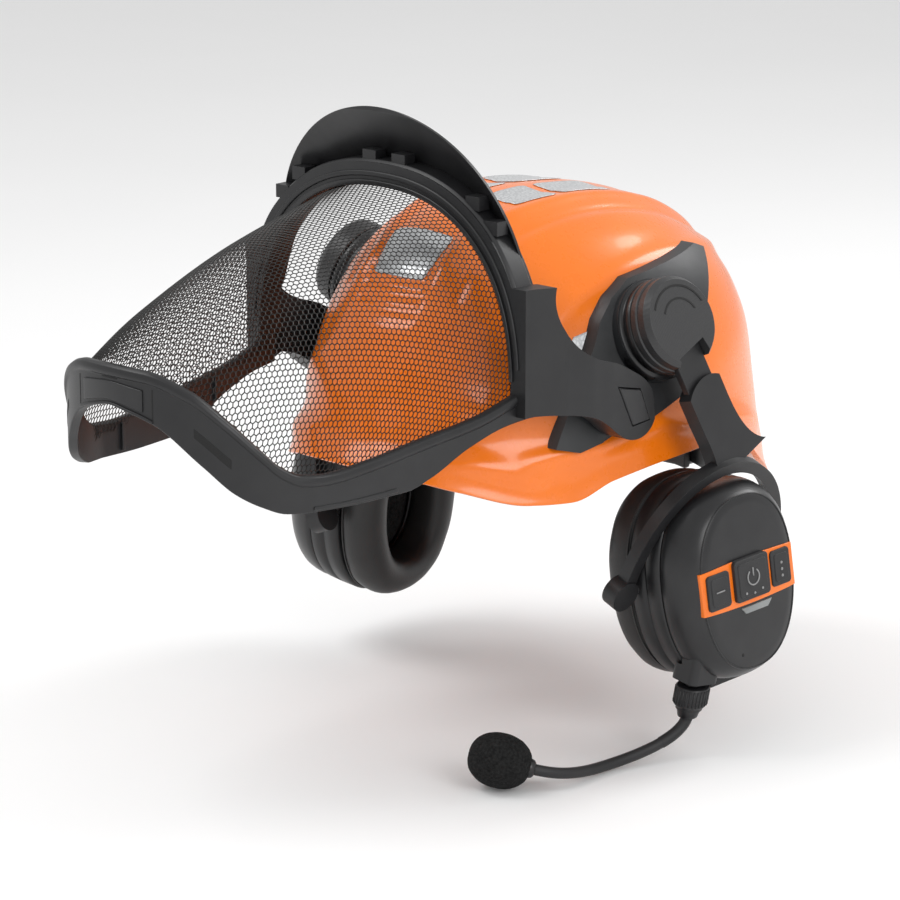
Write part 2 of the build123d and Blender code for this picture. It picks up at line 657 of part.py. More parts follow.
FOAM = (14.5, 16.5)
COLLAR_LONG = 8
with BuildPart() as mic_foam:
    with BuildSketch(Plane(MIC_CENTRE, x_dir=mic_axis, z_dir=mic_axis.cross(Vector(0, 0, 1)))):
        Ellipse(FOAM[1], FOAM[0])
        with Locations((0, -50)):
            Rectangle(100, 100, mode=Mode.SUBTRACT)
    revolve(axis=Axis(MIC_CENTRE, mic_axis))
    with Locations(Plane(TUBE_END, z_dir=mic_axis)):
        Cylinder(5, COLLAR_LONG, align=(Align.CENTER, Align.CENTER, Align.MIN), mode=Mode.SUBTRACT)
save(mic_foam, "mic_foam")

with BuildPart() as mic_collar:
    with Locations(Plane(TUBE_END, z_dir=mic_axis)):
        Cylinder(5, COLLAR_LONG, align=(Align.CENTER, Align.CENTER, Align.MIN))
save(mic_collar, "mic_collar")

# ---------------------------------------------------------------- visor
ARM_UPPER = [(-118, 98), (-116, 80), (-108, 68), (-95, 59), (-80, 54), (-67, 47.5), (-57, 41), (-51, 31)]
ARM_LOWER = [(-50, 20), (-57, 13), (-68, 12), (-79, 17), (-91, 26), (-105, 31), (-120, 33), (-134, 33)]
ARM_PLAN = [(VISOR_ARM_INNER, -40), (VISOR_ARM_OUTER, -40), (VISOR_ARM_OUTER, -84), (110.5, -98), (106, -114),
            (98, -128), (97, -135), (87, -135), (88, -122), (VISOR_ARM_INNER, -106)]
BUTTON_OUTLINE = [(-80, 42), (-62, 38), (-54, 20), (-68, 19)]
BUTTON_GAP, BUTTON_FLOOR = 0.4, VISOR_ARM_OUTER - 5


def arch_sketch(grow_x, grow_z):
    """Face under the visor arch: its mesh edge moved outwards, closed along the base."""
    with BuildLine() as ring:
        points = []
        for step in range(13):
            angle = pi * step / 12
            across = copysign(abs(cos(angle)) ** (2 / ARCH_POWER), cos(angle))
            up = sin(angle) ** (2 / ARCH_POWER)
            points.append(((ARCH_HALF + grow_x) * across, ARCH_BASE + (ARCH_TOP - ARCH_BASE + grow_z) * up))
        rise = Spline(points, tangents=((0, 1), (0, -1)))
        Line(rise @ 1, rise @ 0)
    make_face(ring.edges())


with BuildPart() as visor_arm:
    with BuildSketch(Plane((80, 0, 0), x_dir=(0, 1, 0), z_dir=(1, 0, 0))):
        with BuildLine():
            upper = Spline(ARM_UPPER)
            lower = Spline(ARM_LOWER)
            Line(upper @ 1, lower @ 0)
            Polyline(lower @ 1, (ARCH_FRONT, ARM_UPPER[0][1]), upper @ 0)
        make_face()
    extrude(amount=40)
    with BuildPart(mode=Mode.PRIVATE) as plan:
        plan_prism(ARM_PLAN, 0, 120)
    add(plan.part, mode=Mode.INTERSECT)
    visor_disc(90, VISOR_ARM_OUTER - 6.6, VISOR_PIN + RUNNING_FIT, Mode.SUBTRACT)
    side_prism(BUTTON_OUTLINE, BUTTON_FLOOR, 130, Mode.SUBTRACT)

with BuildPart() as arch_core:
    with BuildSketch(Plane.XZ.offset(-ARCH_FRONT)):
        arch_sketch(0, 0)
    extrude(amount=ARCH_FRONT - ARCH_REAR)

with BuildPart() as visor_arch:
    with BuildSketch(Plane.XZ.offset(-ARCH_FRONT)):
        arch_sketch(ARCH_WIDE, ARCH_WIDE + 1.5)
    extrude(amount=ARCH_FRONT - ARCH_REAR)
    add(visor_arm.part)
    mirror(visor_arm.part, about=Plane.YZ)
    add(arch_core.part, mode=Mode.SUBTRACT)
save(visor_arch, "visor_arch")

with BuildPart() as visor_button:
    with BuildSketch(Plane((BUTTON_FLOOR + 2, 0, 0), x_dir=(0, 1, 0), z_dir=(1, 0, 0))):
        with BuildLine():
            Polyline(BUTTON_OUTLINE, close=True)
        make_face()
        offset(amount=-BUTTON_GAP, kind=Kind.INTERSECTION)
    extrude(amount=VISOR_ARM_OUTER + 0.6 - BUTTON_FLOOR - 2)
save_pair(visor_button, "visor_button")

# The rim runs forward from the legs of the arch, turns at two corners and bows round to the nose.
BOW_RADIUS = (RIM_CORNER[0] ** 2 + (RIM_CORNER[1] - RIM_NOSE[1]) ** 2) / (2 * (RIM_CORNER[1] - RIM_NOSE[1]))
BOW_CENTRE = (0, RIM_NOSE[1] + BOW_RADIUS)
RIM_THICK = 4.5
# Upper and lower edge of the rim: seen from the front (half), then from the side.
BOW_UPPER = [(0, 79), (20, 78), (39, 70), (53, 55), (62, 40), (67, 31), (72, 26), (79, 25)]
BOW_LOWER = [(0, 59.5), (13, 57), (27, 52), (46, 34), (57, 21), (65, 14), (72, 9.5), (79, 8)]
BAR_UPPER = [(-263, 25.6), (-245, 25.6), (-228, 27), (-193, 32), (-158, 37), (-134, 45)]
BAR_LOWER = [(-263, 8.4), (-232, 7.2), (-204, 7.5), (-188, 12), (-165, 23), (-140, 29), (-118, 31)]


def both_halves(points):
    """Points of a half outline mirrored to the other side, left to right."""
    return [(-x, z) for x, z in reversed(points[1:])] + points


with BuildPart() as rim_bow:
    with BuildSketch(Plane.XY):
        with Locations(BOW_CENTRE):
            Circle(BOW_RADIUS + RIM_THICK)
            Circle(BOW_RADIUS, mode=Mode.SUBTRACT)
        with Locations((0, RIM_CORNER[1] + 100)):
            Rectangle(300, 200, mode=Mode.SUBTRACT)
    extrude(amount=120)
    with BuildSketch(Plane.XZ):
        with BuildLine():
            crest = Spline(both_halves(BOW_UPPER))
            base = Spline(both_halves(BOW_LOWER))
            Line(crest @ 0, base @ 0)
            Line(crest @ 1, base @ 1)
        make_face()
    extrude(amount=400, mode=Mode.INTERSECT)

with BuildPart() as rim_side:
    with BuildSketch(Plane((60, 0, 0), x_dir=(0, 1, 0), z_dir=(1, 0, 0))):
        with BuildLine():
            crest = Spline(BAR_UPPER)
            base = Spline(BAR_LOWER)
            Line(crest @ 0, base @ 0)
            Polyline(crest @ 1, (BAR_LOWER[-1][0], BAR_UPPER[-1][1]), base @ 1)
        make_face()
    extrude(amount=50)
    with BuildPart(mode=Mode.PRIVATE) as rim_plan:
        plan_prism([(86.6, -118), (86.6, -131), (72, -262.6), (76.7, -262.6), (91.2, -131), (91.2, -118)], 0, 100)
    add(rim_plan.part, mode=Mode.INTERSECT)

with BuildPart() as visor_rim:
    add(rim_bow.part)
    add(rim_side.part)
    mirror(rim_side.part, about=Plane.YZ)
    add(visor_arch.part, mode=Mode.SUBTRACT)
save(visor_rim, "visor_rim")

# Mesh hood: distance forward, half width, base height, top height, and how square the section is.
MESH_SECTIONS = [(-129, 86.2, 38, 138, 2.3), (-200, 79, 26, 122, 2.3), (-266, 70.4, 19, 101, 2.1),
                 (-322, 52, 12, 80, 1.8)]


def hood(shrink):
    """Solid under the mesh, drawn in by shrink."""
    with BuildPart(mode=Mode.PRIVATE) as solid:
        for y, half_width, low, high, square in MESH_SECTIONS:
            with BuildSketch(Plane.XZ.offset(-y)):
                with BuildLine() as ring:
                    points = []
                    for step in range(13):
                        angle = pi * step / 12
                        across = copysign(abs(cos(angle)) ** (2 / square), cos(angle))
                        up = sin(angle) ** (2 / square)
                        points.append(((half_width - shrink) * across, low + (high - low - shrink) * up))
                    rise = Spline(points, tangents=((0, 1), (0, -1)))
                    foot = low - 4 - 10 * shrink
                    Polyline(rise @ 1, ((rise @ 1).X, foot), ((rise @ 0).X, foot), rise @ 0)
                make_face()
        loft()
    return solid.part


with BuildPart() as visor_mesh:
    add(hood(0))
    add(hood(MESH_THICK), mode=Mode.SUBTRACT)
    with BuildSketch(Plane.XY):
        with Locations(BOW_CENTRE):
            Circle(BOW_RADIUS - 0.3)
        with Locations((0, BOW_CENTRE[1] + 100)):
            Rectangle(2 * BOW_RADIUS + 60, 200)
    extrude(amount=160, mode=Mode.INTERSECT)
    side_prism([(-100, 40), (-131, 38), (-262, 22), (-330, 50), (-340, 0), (-100, 0)], -100, 100, Mode.SUBTRACT)
    add(visor_rim.part, mode=Mode.SUBTRACT)
    add(visor_arch.part, mode=Mode.SUBTRACT)
save(visor_mesh, "visor_mesh")

PEAK_FLARE = 30


def flare(shift):
    """Solid that widens forwards from the outside of the arch."""
    with BuildPart(mode=Mode.PRIVATE) as solid:
        with BuildSketch(Plane.XZ.offset(-ARCH_REAR + 1 + shift)):
            arch_sketch(ARCH_WIDE, ARCH_WIDE + 1.5)
        with BuildSketch(Plane.XZ.offset(-ARCH_REAR + 1 + PEAK_FLARE * 0.58 + shift)):
            arch_sketch(ARCH_WIDE + PEAK_FLARE, ARCH_WIDE + 1.5 + PEAK_FLARE)
        loft()
    return solid.part


with BuildPart() as visor_peak:
    add(flare(0))
    add(flare(PEAK_THICK * 1.15), mode=Mode.SUBTRACT)
    with BuildSketch(Plane.XZ):
        with BuildLine():
            brow = ThreePointArc((-82, 110), (0, 178.5), (82, 110))
            Line(brow @ 1, brow @ 0)
        make_face()
    extrude(amount=200, mode=Mode.INTERSECT)
    add(visor_arch.part, mode=Mode.SUBTRACT)
    add(arch_core.part, mode=Mode.SUBTRACT)
save(visor_peak, "visor_peak")

CLIP = (9, 8, 7)
CLIP_SPOTS = [(-10, 0), (10, 0), (-60, -15), (60, -15), (-72, -26), (72, -26)]
with BuildPart() as peak_clips:
    for x, drop in CLIP_SPOTS:
        closed_box(*CLIP, (x, -128, ARCH_TOP + ARCH_WIDE + 3.5 + drop))
    add(visor_arch.part, mode=Mode.SUBTRACT)
    add(visor_peak.part, mode=Mode.SUBTRACT)
    add(arch_core.part, mode=Mode.SUBTRACT)
save(peak_clips, "peak_clips")
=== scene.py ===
"""Looks of the forestry helmet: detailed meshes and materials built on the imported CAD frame, in metres."""
import json
from math import atan2, cos, pi, radians, sin, sqrt

import bmesh
import bpy
import numpy as np
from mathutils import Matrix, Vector, noise
from mathutils.bvhtree import BVHTree


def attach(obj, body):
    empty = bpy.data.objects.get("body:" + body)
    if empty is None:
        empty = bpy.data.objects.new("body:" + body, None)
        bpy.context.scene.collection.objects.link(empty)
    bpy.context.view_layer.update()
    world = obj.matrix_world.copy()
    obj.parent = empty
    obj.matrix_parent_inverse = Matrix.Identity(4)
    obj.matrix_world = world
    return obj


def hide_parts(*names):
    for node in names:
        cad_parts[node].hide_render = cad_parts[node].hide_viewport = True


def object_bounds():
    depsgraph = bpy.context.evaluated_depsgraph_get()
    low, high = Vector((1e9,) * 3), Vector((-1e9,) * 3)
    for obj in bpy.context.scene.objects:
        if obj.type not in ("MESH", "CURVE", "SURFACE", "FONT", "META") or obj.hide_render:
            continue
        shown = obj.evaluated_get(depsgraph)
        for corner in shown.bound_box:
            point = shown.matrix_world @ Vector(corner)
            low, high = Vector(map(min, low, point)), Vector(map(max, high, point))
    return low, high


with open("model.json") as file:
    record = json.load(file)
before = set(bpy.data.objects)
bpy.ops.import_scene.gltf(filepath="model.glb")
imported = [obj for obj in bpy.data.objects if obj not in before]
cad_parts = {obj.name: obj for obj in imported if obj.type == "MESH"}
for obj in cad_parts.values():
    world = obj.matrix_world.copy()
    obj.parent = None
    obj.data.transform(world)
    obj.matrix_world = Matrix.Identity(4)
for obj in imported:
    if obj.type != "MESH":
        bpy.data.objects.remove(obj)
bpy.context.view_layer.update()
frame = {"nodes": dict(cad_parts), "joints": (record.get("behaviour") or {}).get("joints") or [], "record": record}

MM = 0.001


# ---------------------------------------------------------------- directions shared with the frame
def unit(*v):
    return Vector(v).normalized()


JOINTS = {joint["name"]: joint for joint in frame["joints"]}
YAW, CUP_TILT, CUP_LEAN = radians(6), radians(6), radians(4)
LEVEL_OUT = Vector((cos(YAW), -sin(YAW), 0))
ACROSS = Vector((sin(YAW), cos(YAW), 0))
HUB_AXIS = unit(*JOINTS["swivel_left"]["axis"])
HUB_CENTRE = Vector(JOINTS["swivel_left"]["pos_m"])
CUP_AXIS = LEVEL_OUT * cos(CUP_TILT) + Vector((0, 0, sin(CUP_TILT)))
CUP_UP = CUP_AXIS.cross(ACROSS)
CUP_CENTRE = Vector((0.113, -0.015, -0.070))


class Place:
    """A local frame: origin, x, y and z directions; calling it gives the point at local millimetres."""

    def __init__(self, origin, x, z, side=1):
        self.o, self.side = Vector(origin), side
        self.x, self.z = Vector(x).normalized(), Vector(z).normalized()
        self.y = self.z.cross(self.x)

    def __call__(self, a, b, c=0):
        p = self.o + (self.x * a + self.y * b + self.z * c) * MM
        return Vector((p.x * self.side, p.y, p.z))


def cup_place(side):
    return Place(CUP_CENTRE, ACROSS * cos(CUP_LEAN) + CUP_UP * sin(CUP_LEAN), CUP_AXIS, side)


def hub_place(side):
    return Place(HUB_CENTRE, ACROSS, HUB_AXIS, side)


SIDES = (("left", 1), ("right", -1))


# ---------------------------------------------------------------- materials
def node_material(name):
    mat = bpy.data.materials.new(name)
    mat.use_nodes = True
    nodes, links = mat.node_tree.nodes, mat.node_tree.links
    return mat, nodes, links, nodes["Principled BSDF"]


def noise_node(nodes, links, coordinates, scale, detail=4.0, kind="ShaderNodeTexNoise"):
    tex = nodes.new(kind)
    tex.inputs["Scale"].default_value = scale
    if "Detail" in tex.inputs:
        tex.inputs["Detail"].default_value = detail
    links.new(coordinates.outputs["Object"], tex.inputs["Vector"])
    return tex


def moulded(name, low, high, rough=(0.4, 0.55), grain=2500, depth=0.05, patch=60, coat=0.0, metal=0.0,
            specular=0.5, sheen=0.0, distance=0.0002):
    """Moulded or coated surface: two-tone patches, uneven roughness and a fine grain."""
    mat, nodes, links, shader = node_material(name)
    where = nodes.new("ShaderNodeTexCoord")
    patches = noise_node(nodes, links, where, patch)
    ramp = nodes.new("ShaderNodeValToRGB")
    ramp.color_ramp.elements[0].position, ramp.color_ramp.elements[1].position = 0.3, 0.7
    ramp.color_ramp.elements[0].color = (*low, 1)
    ramp.color_ramp.elements[1].color = (*high, 1)
    links.new(patches.outputs["Fac"], ramp.inputs["Fac"])
    links.new(ramp.outputs["Color"], shader.inputs["Base Color"])
    spread = nodes.new("ShaderNodeMapRange")
    spread.inputs["To Min"].default_value, spread.inputs["To Max"].default_value = rough
    fine = noise_node(nodes, links, where, grain, 6)
    links.new(fine.outputs["Fac"], spread.inputs["Value"])
    links.new(spread.outputs["Result"], shader.inputs["Roughness"])
    bump = nodes.new("ShaderNodeBump")
    bump.inputs["Strength"].default_value = depth
    bump.inputs["Distance"].default_value = distance
    links.new(fine.outputs["Fac"], bump.inputs["Height"])
    links.new(bump.outputs["Normal"], shader.inputs["Normal"])
    shader.inputs["Coat Weight"].default_value = coat
    shader.inputs["Coat Roughness"].default_value = 0.08
    shader.inputs["Metallic"].default_value = metal
    shader.inputs["Specular IOR Level"].default_value = specular
    shader.inputs["Sheen Weight"].default_value = sheen
    return mat


def prism_foil():
    """Silver reflective foil with small sealed cells."""
    mat, nodes, links, shader = node_material("prism_foil")
    where = nodes.new("ShaderNodeTexCoord")
    cells = noise_node(nodes, links, where, 420, kind="ShaderNodeTexVoronoi")
    cells.feature = "DISTANCE_TO_EDGE"
    ramp = nodes.new("ShaderNodeValToRGB")
    ramp.color_ramp.elements[0].color = (0.42, 0.43, 0.44, 1)
    ramp.color_ramp.elements[1].color = (0.66, 0.67, 0.68, 1)
    ramp.color_ramp.elements[1].position = 0.12
    links.new(cells.outputs["Distance"], ramp.inputs["Fac"])
    links.new(ramp.outputs["Color"], shader.inputs["Base Color"])
    bump = nodes.new("ShaderNodeBump")
    bump.inputs["Strength"].default_value = 0.25
    bump.inputs["Distance"].default_value = 0.0002
    links.new(cells.outputs["Distance"], bump.inputs["Height"])
    links.new(bump.outputs["Normal"], shader.inputs["Normal"])
    shader.inputs["Metallic"].default_value = 0.55
    shader.inputs["Roughness"].default_value = 0.34
    shader.inputs["Coat Weight"].default_value = 0.4
    return mat


def brushed_rings(name, axis_z, low, high):
    """Black plastic turned with fine rings about the hub axis."""
    mat, nodes, links, shader = node_material(name)
    where = nodes.new("ShaderNodeTexCoord")
    grain = noise_node(nodes, links, where, 900, 8)
    ramp = nodes.new("ShaderNodeValToRGB")
    ramp.color_ramp.elements[0].color = (*low, 1)
    ramp.color_ramp.elements[1].color = (*high, 1)
    links.new(grain.outputs["Fac"], ramp.inputs["Fac"])
    links.new(ramp.outputs["Color"], shader.inputs["Base Color"])
    turn = nodes.new("ShaderNodeMapping")
    turn.inputs["Rotation"].default_value = axis_z
    rings = nodes.new("ShaderNodeTexWave")
    rings.wave_type, rings.rings_direction = "RINGS", "X"
    rings.inputs["Scale"].default_value = 260
    rings.inputs["Distortion"].default_value = 1.2
    links.new(where.outputs["Object"], turn.inputs["Vector"])
    links.new(turn.outputs["Vector"], rings.inputs["Vector"])
    bump = nodes.new("ShaderNodeBump")
    bump.inputs["Strength"].default_value = 0.12
    bump.inputs["Distance"].default_value = 0.0003
    links.new(rings.outputs["Fac"], bump.inputs["Height"])
    links.new(bump.outputs["Normal"], shader.inputs["Normal"])
    shader.inputs["Roughness"].default_value = 0.42
    shader.inputs["Specular IOR Level"].default_value = 0.6
    return mat


def woven(name, low, high, scale):
    """Webbing or cloth: two crossed waves over a soft base."""
    mat, nodes, links, shader = node_material(name)
    where = nodes.new("ShaderNodeTexCoord")
    total = nodes.new("ShaderNodeMath")
    total.operation = "ADD"
    for slot_index, direction in enumerate(("X", "Z")):
        wave = nodes.new("ShaderNodeTexWave")
        wave.bands_direction = direction
        wave.inputs["Scale"].default_value = scale
        wave.inputs["Distortion"].default_value = 0.6
        links.new(where.outputs["Object"], wave.inputs["Vector"])
        links.new(wave.outputs["Fac"], total.inputs[slot_index])
    ramp = nodes.new("ShaderNodeValToRGB")
    ramp.color_ramp.elements[0].color = (*low, 1)
    ramp.color_ramp.elements[1].color = (*high, 1)
    links.new(total.outputs["Value"], ramp.inputs["Fac"])
    links.new(ramp.outputs["Color"], shader.inputs["Base Color"])
    bump = nodes.new("ShaderNodeBump")
    bump.inputs["Strength"].default_value = 0.5
    bump.inputs["Distance"].default_value = 0.0004
    links.new(total.outputs["Value"], bump.inputs["Height"])
    links.new(bump.outputs["Normal"], shader.inputs["Normal"])
    shader.inputs["Roughness"].default_value = 0.85
    shader.inputs["Sheen Weight"].default_value = 0.3
    return mat


BLACK = moulded("charcoal_plastic", (0.006, 0.006, 0.007), (0.011, 0.011, 0.012), (0.36, 0.5), 3200, 0.12)
SATIN = moulded("satin_plastic", (0.008, 0.008, 0.009), (0.014, 0.014, 0.015), (0.27, 0.4), 2600, 0.08)
PLATE = moulded("plate_plastic", (0.010, 0.011, 0.012), (0.017, 0.018, 0.020), (0.34, 0.48), 2800, 0.12)
ORANGE = moulded("orange_shell", (0.83, 0.165, 0.001), (0.89, 0.185, 0.002), (0.24, 0.32), 180, 0.02,
                 25, 0.35)
ACCENT = moulded("orange_strip", (0.80, 0.155, 0.002), (0.86, 0.175, 0.003), (0.3, 0.42), 1800, 0.06, 60, 0.2)
FOIL = prism_foil()
TURNED = brushed_rings("turned_plastic", (0, 0, 0), (0.014, 0.014, 0.015), (0.026, 0.026, 0.027))
WIRE = moulded("mesh_wire", (0.010, 0.010, 0.010), (0.022, 0.021, 0.020), (0.35, 0.55), 1500, 0.1, 90,
               metal=0.35)
RUBBER = moulded("key_rubber", (0.012, 0.012, 0.013), (0.018, 0.018, 0.019), (0.5, 0.66), 3000, 0.18,
                 sheen=0.05)
LEATHER = moulded("cushion_skin", (0.011, 0.011, 0.011), (0.018, 0.017, 0.017), (0.38, 0.52), 900, 0.35, 50)
SPONGE = moulded("mic_foam", (0.006, 0.006, 0.006), (0.022, 0.022, 0.022), (0.9, 1.0), 1300, 1.0, 700,
                 specular=0.15, distance=0.0009)
LINER = moulded("ear_liner_foam", (0.006, 0.006, 0.006), (0.020, 0.020, 0.020), (0.9, 1.0), 1100, 0.9, 500,
                specular=0.15, distance=0.0008)
WINDOW = moulded("light_window", (0.16, 0.17, 0.17), (0.24, 0.25, 0.25), (0.25, 0.35), 1500, 0.05, coat=0.4)
PRINT = moulded("key_print", (0.20, 0.20, 0.20), (0.28, 0.28, 0.28), (0.5, 0.6), 2500, 0.05)
STEEL = moulded("pin_steel", (0.42, 0.42, 0.43), (0.55, 0.55, 0.56), (0.25, 0.4), 1500, 0.05, metal=1.0)
# Near-black used as painted shade in slots, the mic hole and the cap grooves, and for the dark seam lines on the
# rim bow.
SHADE_AND_SEAM_BLACK = moulded("recess_shade_and_seam", (0.002, 0.002, 0.002), (0.004, 0.004, 0.004), (0.6, 0.8), 2000, 0.1)
WEBBING = woven("strap_webbing", (0.010, 0.010, 0.011), (0.030, 0.030, 0.032), 900)
TERRY = woven("sweatband_cloth", (0.012, 0.012, 0.013), (0.035, 0.035, 0.037), 650)
BOARD = moulded("board_green", (0.008, 0.05, 0.02), (0.012, 0.08, 0.03), (0.35, 0.5), 1500, 0.1)
CELL = moulded("battery_wrap", (0.02, 0.03, 0.10), (0.03, 0.05, 0.14), (0.3, 0.4), 1500, 0.05)


# ---------------------------------------------------------------- mesh helpers
def new_piece(name, verts, faces, mat, body, stands_for=(), smooth=True):
    """Mesh object from points in the row frame, riding on a CAD body."""
    mesh = bpy.data.meshes.new(name)
    mesh.from_pydata([tuple(v) for v in verts], [], faces)
    work = bmesh.new()
    work.from_mesh(mesh)
    bmesh.ops.remove_doubles(work, verts=work.verts, dist=1e-6)
    bmesh.ops.recalc_face_normals(work, faces=work.faces)
    work.to_mesh(mesh)
    work.free()
    mesh.polygons.foreach_set("use_smooth", [smooth] * len(mesh.polygons))
    mesh.materials.append(mat)
    piece = bpy.data.objects.new(name, mesh)
    bpy.context.scene.collection.objects.link(piece)
    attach(piece, body)
    if stands_for:
        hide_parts(*stands_for)
    return piece


def modifier(piece, kind, **settings):
    added = piece.modifiers.new(kind.title(), kind)
    for key, value in settings.items():
        setattr(added, key, value)
    return added


def body_of(node):
    return next(b for b, nodes in frame["record"]["behaviour"]["bodies"].items() if node in nodes)


def refine(node, mat, bevel=0.8, angle=32, segments=3):
    """Copy of a CAD node with merged faces, rounded edges and smooth shading."""
    source = frame["nodes"][node]
    work = bmesh.new()
    work.from_mesh(source.data)
    bmesh.ops.remove_doubles(work, verts=work.verts, dist=2e-6)
    bmesh.ops.dissolve_limit(work, angle_limit=radians(1.5), verts=work.verts, edges=work.edges)
    mesh = bpy.data.meshes.new(node + "_look")
    work.to_mesh(mesh)
    work.free()
    mesh.polygons.foreach_set("use_smooth", [True] * len(mesh.polygons))
    mesh.materials.clear()
    mesh.materials.append(mat)
    piece = bpy.data.objects.new(node + "_look", mesh)
    bpy.context.scene.collection.objects.link(piece)
    modifier(piece, "BEVEL", width=bevel * MM, segments=segments, limit_method="ANGLE",
             angle_limit=radians(angle), use_clamp_overlap=True, harden_normals=False)
    modifier(piece, "WEIGHTED_NORMAL", keep_sharp=True, weight=60)
    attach(piece, body_of(node))
    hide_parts(node)
    return piece


def grid_faces(rows, columns, wrap=True):
    """Quads between rows of points; wrap closes each row on itself."""
    across = columns if wrap else columns - 1
    faces = []
    for row in range(rows - 1):
        for column in range(across):
            following = (column + 1) % columns
            faces.append((row * columns + column, row * columns + following,
                          (row + 1) * columns + following, (row + 1) * columns + column))
    return faces


def tube(name, points, radii, mat, body, stands_for=(), around=20):
    """Round tube along points, with one radius for each, closed at both ends."""
    verts, normal = [], None
    for index, point in enumerate(points):
        ahead = points[min(index + 1, len(points) - 1)] - points[max(index - 1, 0)]
        ahead.normalize()
        if normal is None:
            normal = ahead.orthogonal().normalized()
        normal = (normal - ahead * normal.dot(ahead)).normalized()
        sideways = ahead.cross(normal)
        for step in range(around):
            turn = 2 * pi * step / around
            verts.append(point + (normal * cos(turn) + sideways * sin(turn)) * radii[index])
    faces = grid_faces(len(points), around)
    faces.append(tuple(range(around)))
    faces.append(tuple(range((len(points) - 1) * around, len(points) * around)))
    return new_piece(name, verts, faces, mat, body, stands_for)


def turned(name, place, profile, mat, body, stands_for=(), around=72, centre=(0, 0)):
    """Solid of revolution about the place's z axis, from (radius, height) points in millimetres."""
    verts = []
    for radius, height in profile:
        for step in range(around):
            turn = 2 * pi * step / around
            verts.append(place(centre[0] + radius * cos(turn), centre[1] + radius * sin(turn), height))
    faces = grid_faces(len(profile), around)
    faces.append(tuple(range(around)))
    faces.append(tuple(range((len(profile) - 1) * around, len(profile) * around)))
    return new_piece(name, verts, faces, mat, body, stands_for)


def power(value, exponent):
    return abs(value) ** exponent * (1 if value >= 0 else -1)


def oval_point(turn, half_width, half_height, egg=0.04, shape=2.3):
    up = power(sin(turn), 2 / shape)
    return half_width * power(cos(turn), 2 / shape) * (1 + egg * up), half_height * up


def oval_loft(name, place, sections, mat, body, stands_for=(), around=96, ring=False):
    """Skin through ovals given as (depth, half width, half height); ring joins the last to the first."""
    verts = []
    for depth, half_width, half_height in sections:
        for step in range(around):
            a, b = oval_point(2 * pi * step / around, half_width, half_height)
            verts.append(place(a, b, depth))
    faces = grid_faces(len(sections), around)
    last = (len(sections) - 1) * around
    if ring:
        faces += [(last + c, last + (c + 1) % around, (c + 1) % around, c) for c in range(around)]
    else:
        faces += [tuple(range(around)), tuple(range(last, last + around))]
    return new_piece(name, verts, faces, mat, body, stands_for)


def plate_on(name, place, outline, low, high, mat, body, stands_for=(), bevel=0.5):
    """Flat plate with a polygon outline in the place's own plane, between two heights."""
    count = len(outline)
    verts = [place(a, b, low) for a, b in outline] + [place(a, b, high) for a, b in outline]
    faces = [tuple(range(count)), tuple(range(count, 2 * count))]
    faces += [(i, (i + 1) % count, count + (i + 1) % count, count + i) for i in range(count)]
    piece = new_piece(name, verts, faces, mat, body, stands_for, smooth=True)
    modifier(piece, "BEVEL", width=bevel * MM, segments=3, limit_method="ANGLE", angle_limit=radians(40))
    modifier(piece, "WEIGHTED_NORMAL", keep_sharp=True)
    return piece


def rounded(from_a, to_a, from_b, to_b, radius, steps=5):
    """Rectangle outline with round corners."""
    points = []
    corners = ((to_a - radius, to_b - radius, 0), (from_a + radius, to_b - radius, 90),
               (from_a + radius, from_b + radius, 180), (to_a - radius, from_b + radius, 270))
    for a, b, start in corners:
        for step in range(steps + 1):
            turn = radians(start + 90 * step / steps)
            points.append((a + radius * cos(turn), b + radius * sin(turn)))
    return points


# ---------------------------------------------------------------- shell
SHELL_LEVELS = np.array([
    (-64, -170, 137, 107, -5), (-30, -170, 130, 106, -5), (0, -167, 121, 104.5, -5),
    (14, -158, 119.5, 102.5, -5), (40, -152, 116, 99, -5), (66, -141, 104, 92.5, -5), (88, -126, 85, 81, -8),
    (103, -112, 64, 66, -14), (114, -97, 42, 48, -24), (121, -78, 14, 29, -32),
    (124.5, -55, -18, 9, -38)], float)
SHELL_EDGE = np.array([(-185, 3), (-168, 0), (-141, -10), (-112, -19), (-90, -20), (-66, -12), (-30, -7),
                       (12, -5), (38, -11), (70, -31), (100, -45), (160, -52)], float)


def smooth_curve(xs, ys, at):
    """Monotone cubic through (xs, ys)."""
    step, rise = np.diff(xs), np.diff(ys) / np.diff(xs)
    slope = np.zeros(len(xs))
    same = rise[:-1] * rise[1:] > 0
    slope[1:-1][same] = 2 * rise[:-1][same] * rise[1:][same] / (rise[:-1][same] + rise[1:][same])
    slope[0], slope[-1] = rise[0], rise[-1]
    k = np.clip(np.searchsorted(xs, at) - 1, 0, len(xs) - 2)
    t = (np.clip(at, xs[0], xs[-1]) - xs[k]) / step[k]
    return (ys[k] * (1 + 2 * t) * (1 - t) ** 2 + ys[k + 1] * t * t * (3 - 2 * t)
            + slope[k] * step[k] * t * (1 - t) ** 2 - slope[k + 1] * step[k] * t * t * (1 - t))


def shell_surface(turn, z):
    """Points of the shell's outer surface in millimetres, for angles round it and heights."""
    front, rear, half, middle = (smooth_curve(SHELL_LEVELS[:, 0], SHELL_LEVELS[:, i], z)
                                 for i in (1, 2, 3, 4))
    reach = np.where(np.sin(turn) < 0, middle - front, rear - middle)
    return np.stack([half * np.cos(turn), middle + reach * np.sin(turn), z], -1)


def line_distance(points, line):
    """Distance of each point from a polyline."""
    best = np.full(points.shape[:-1], 1e9)
    for a, b in zip(line[:-1], line[1:]):
        a, b = np.array(a, float), np.array(b, float)
        t = np.clip(((points - a) @ (b - a)) / ((b - a) @ (b - a)), 0, 1)
        best = np.minimum(best, np.linalg.norm(points - a - t[..., None] * (b - a), axis=-1))
    return best


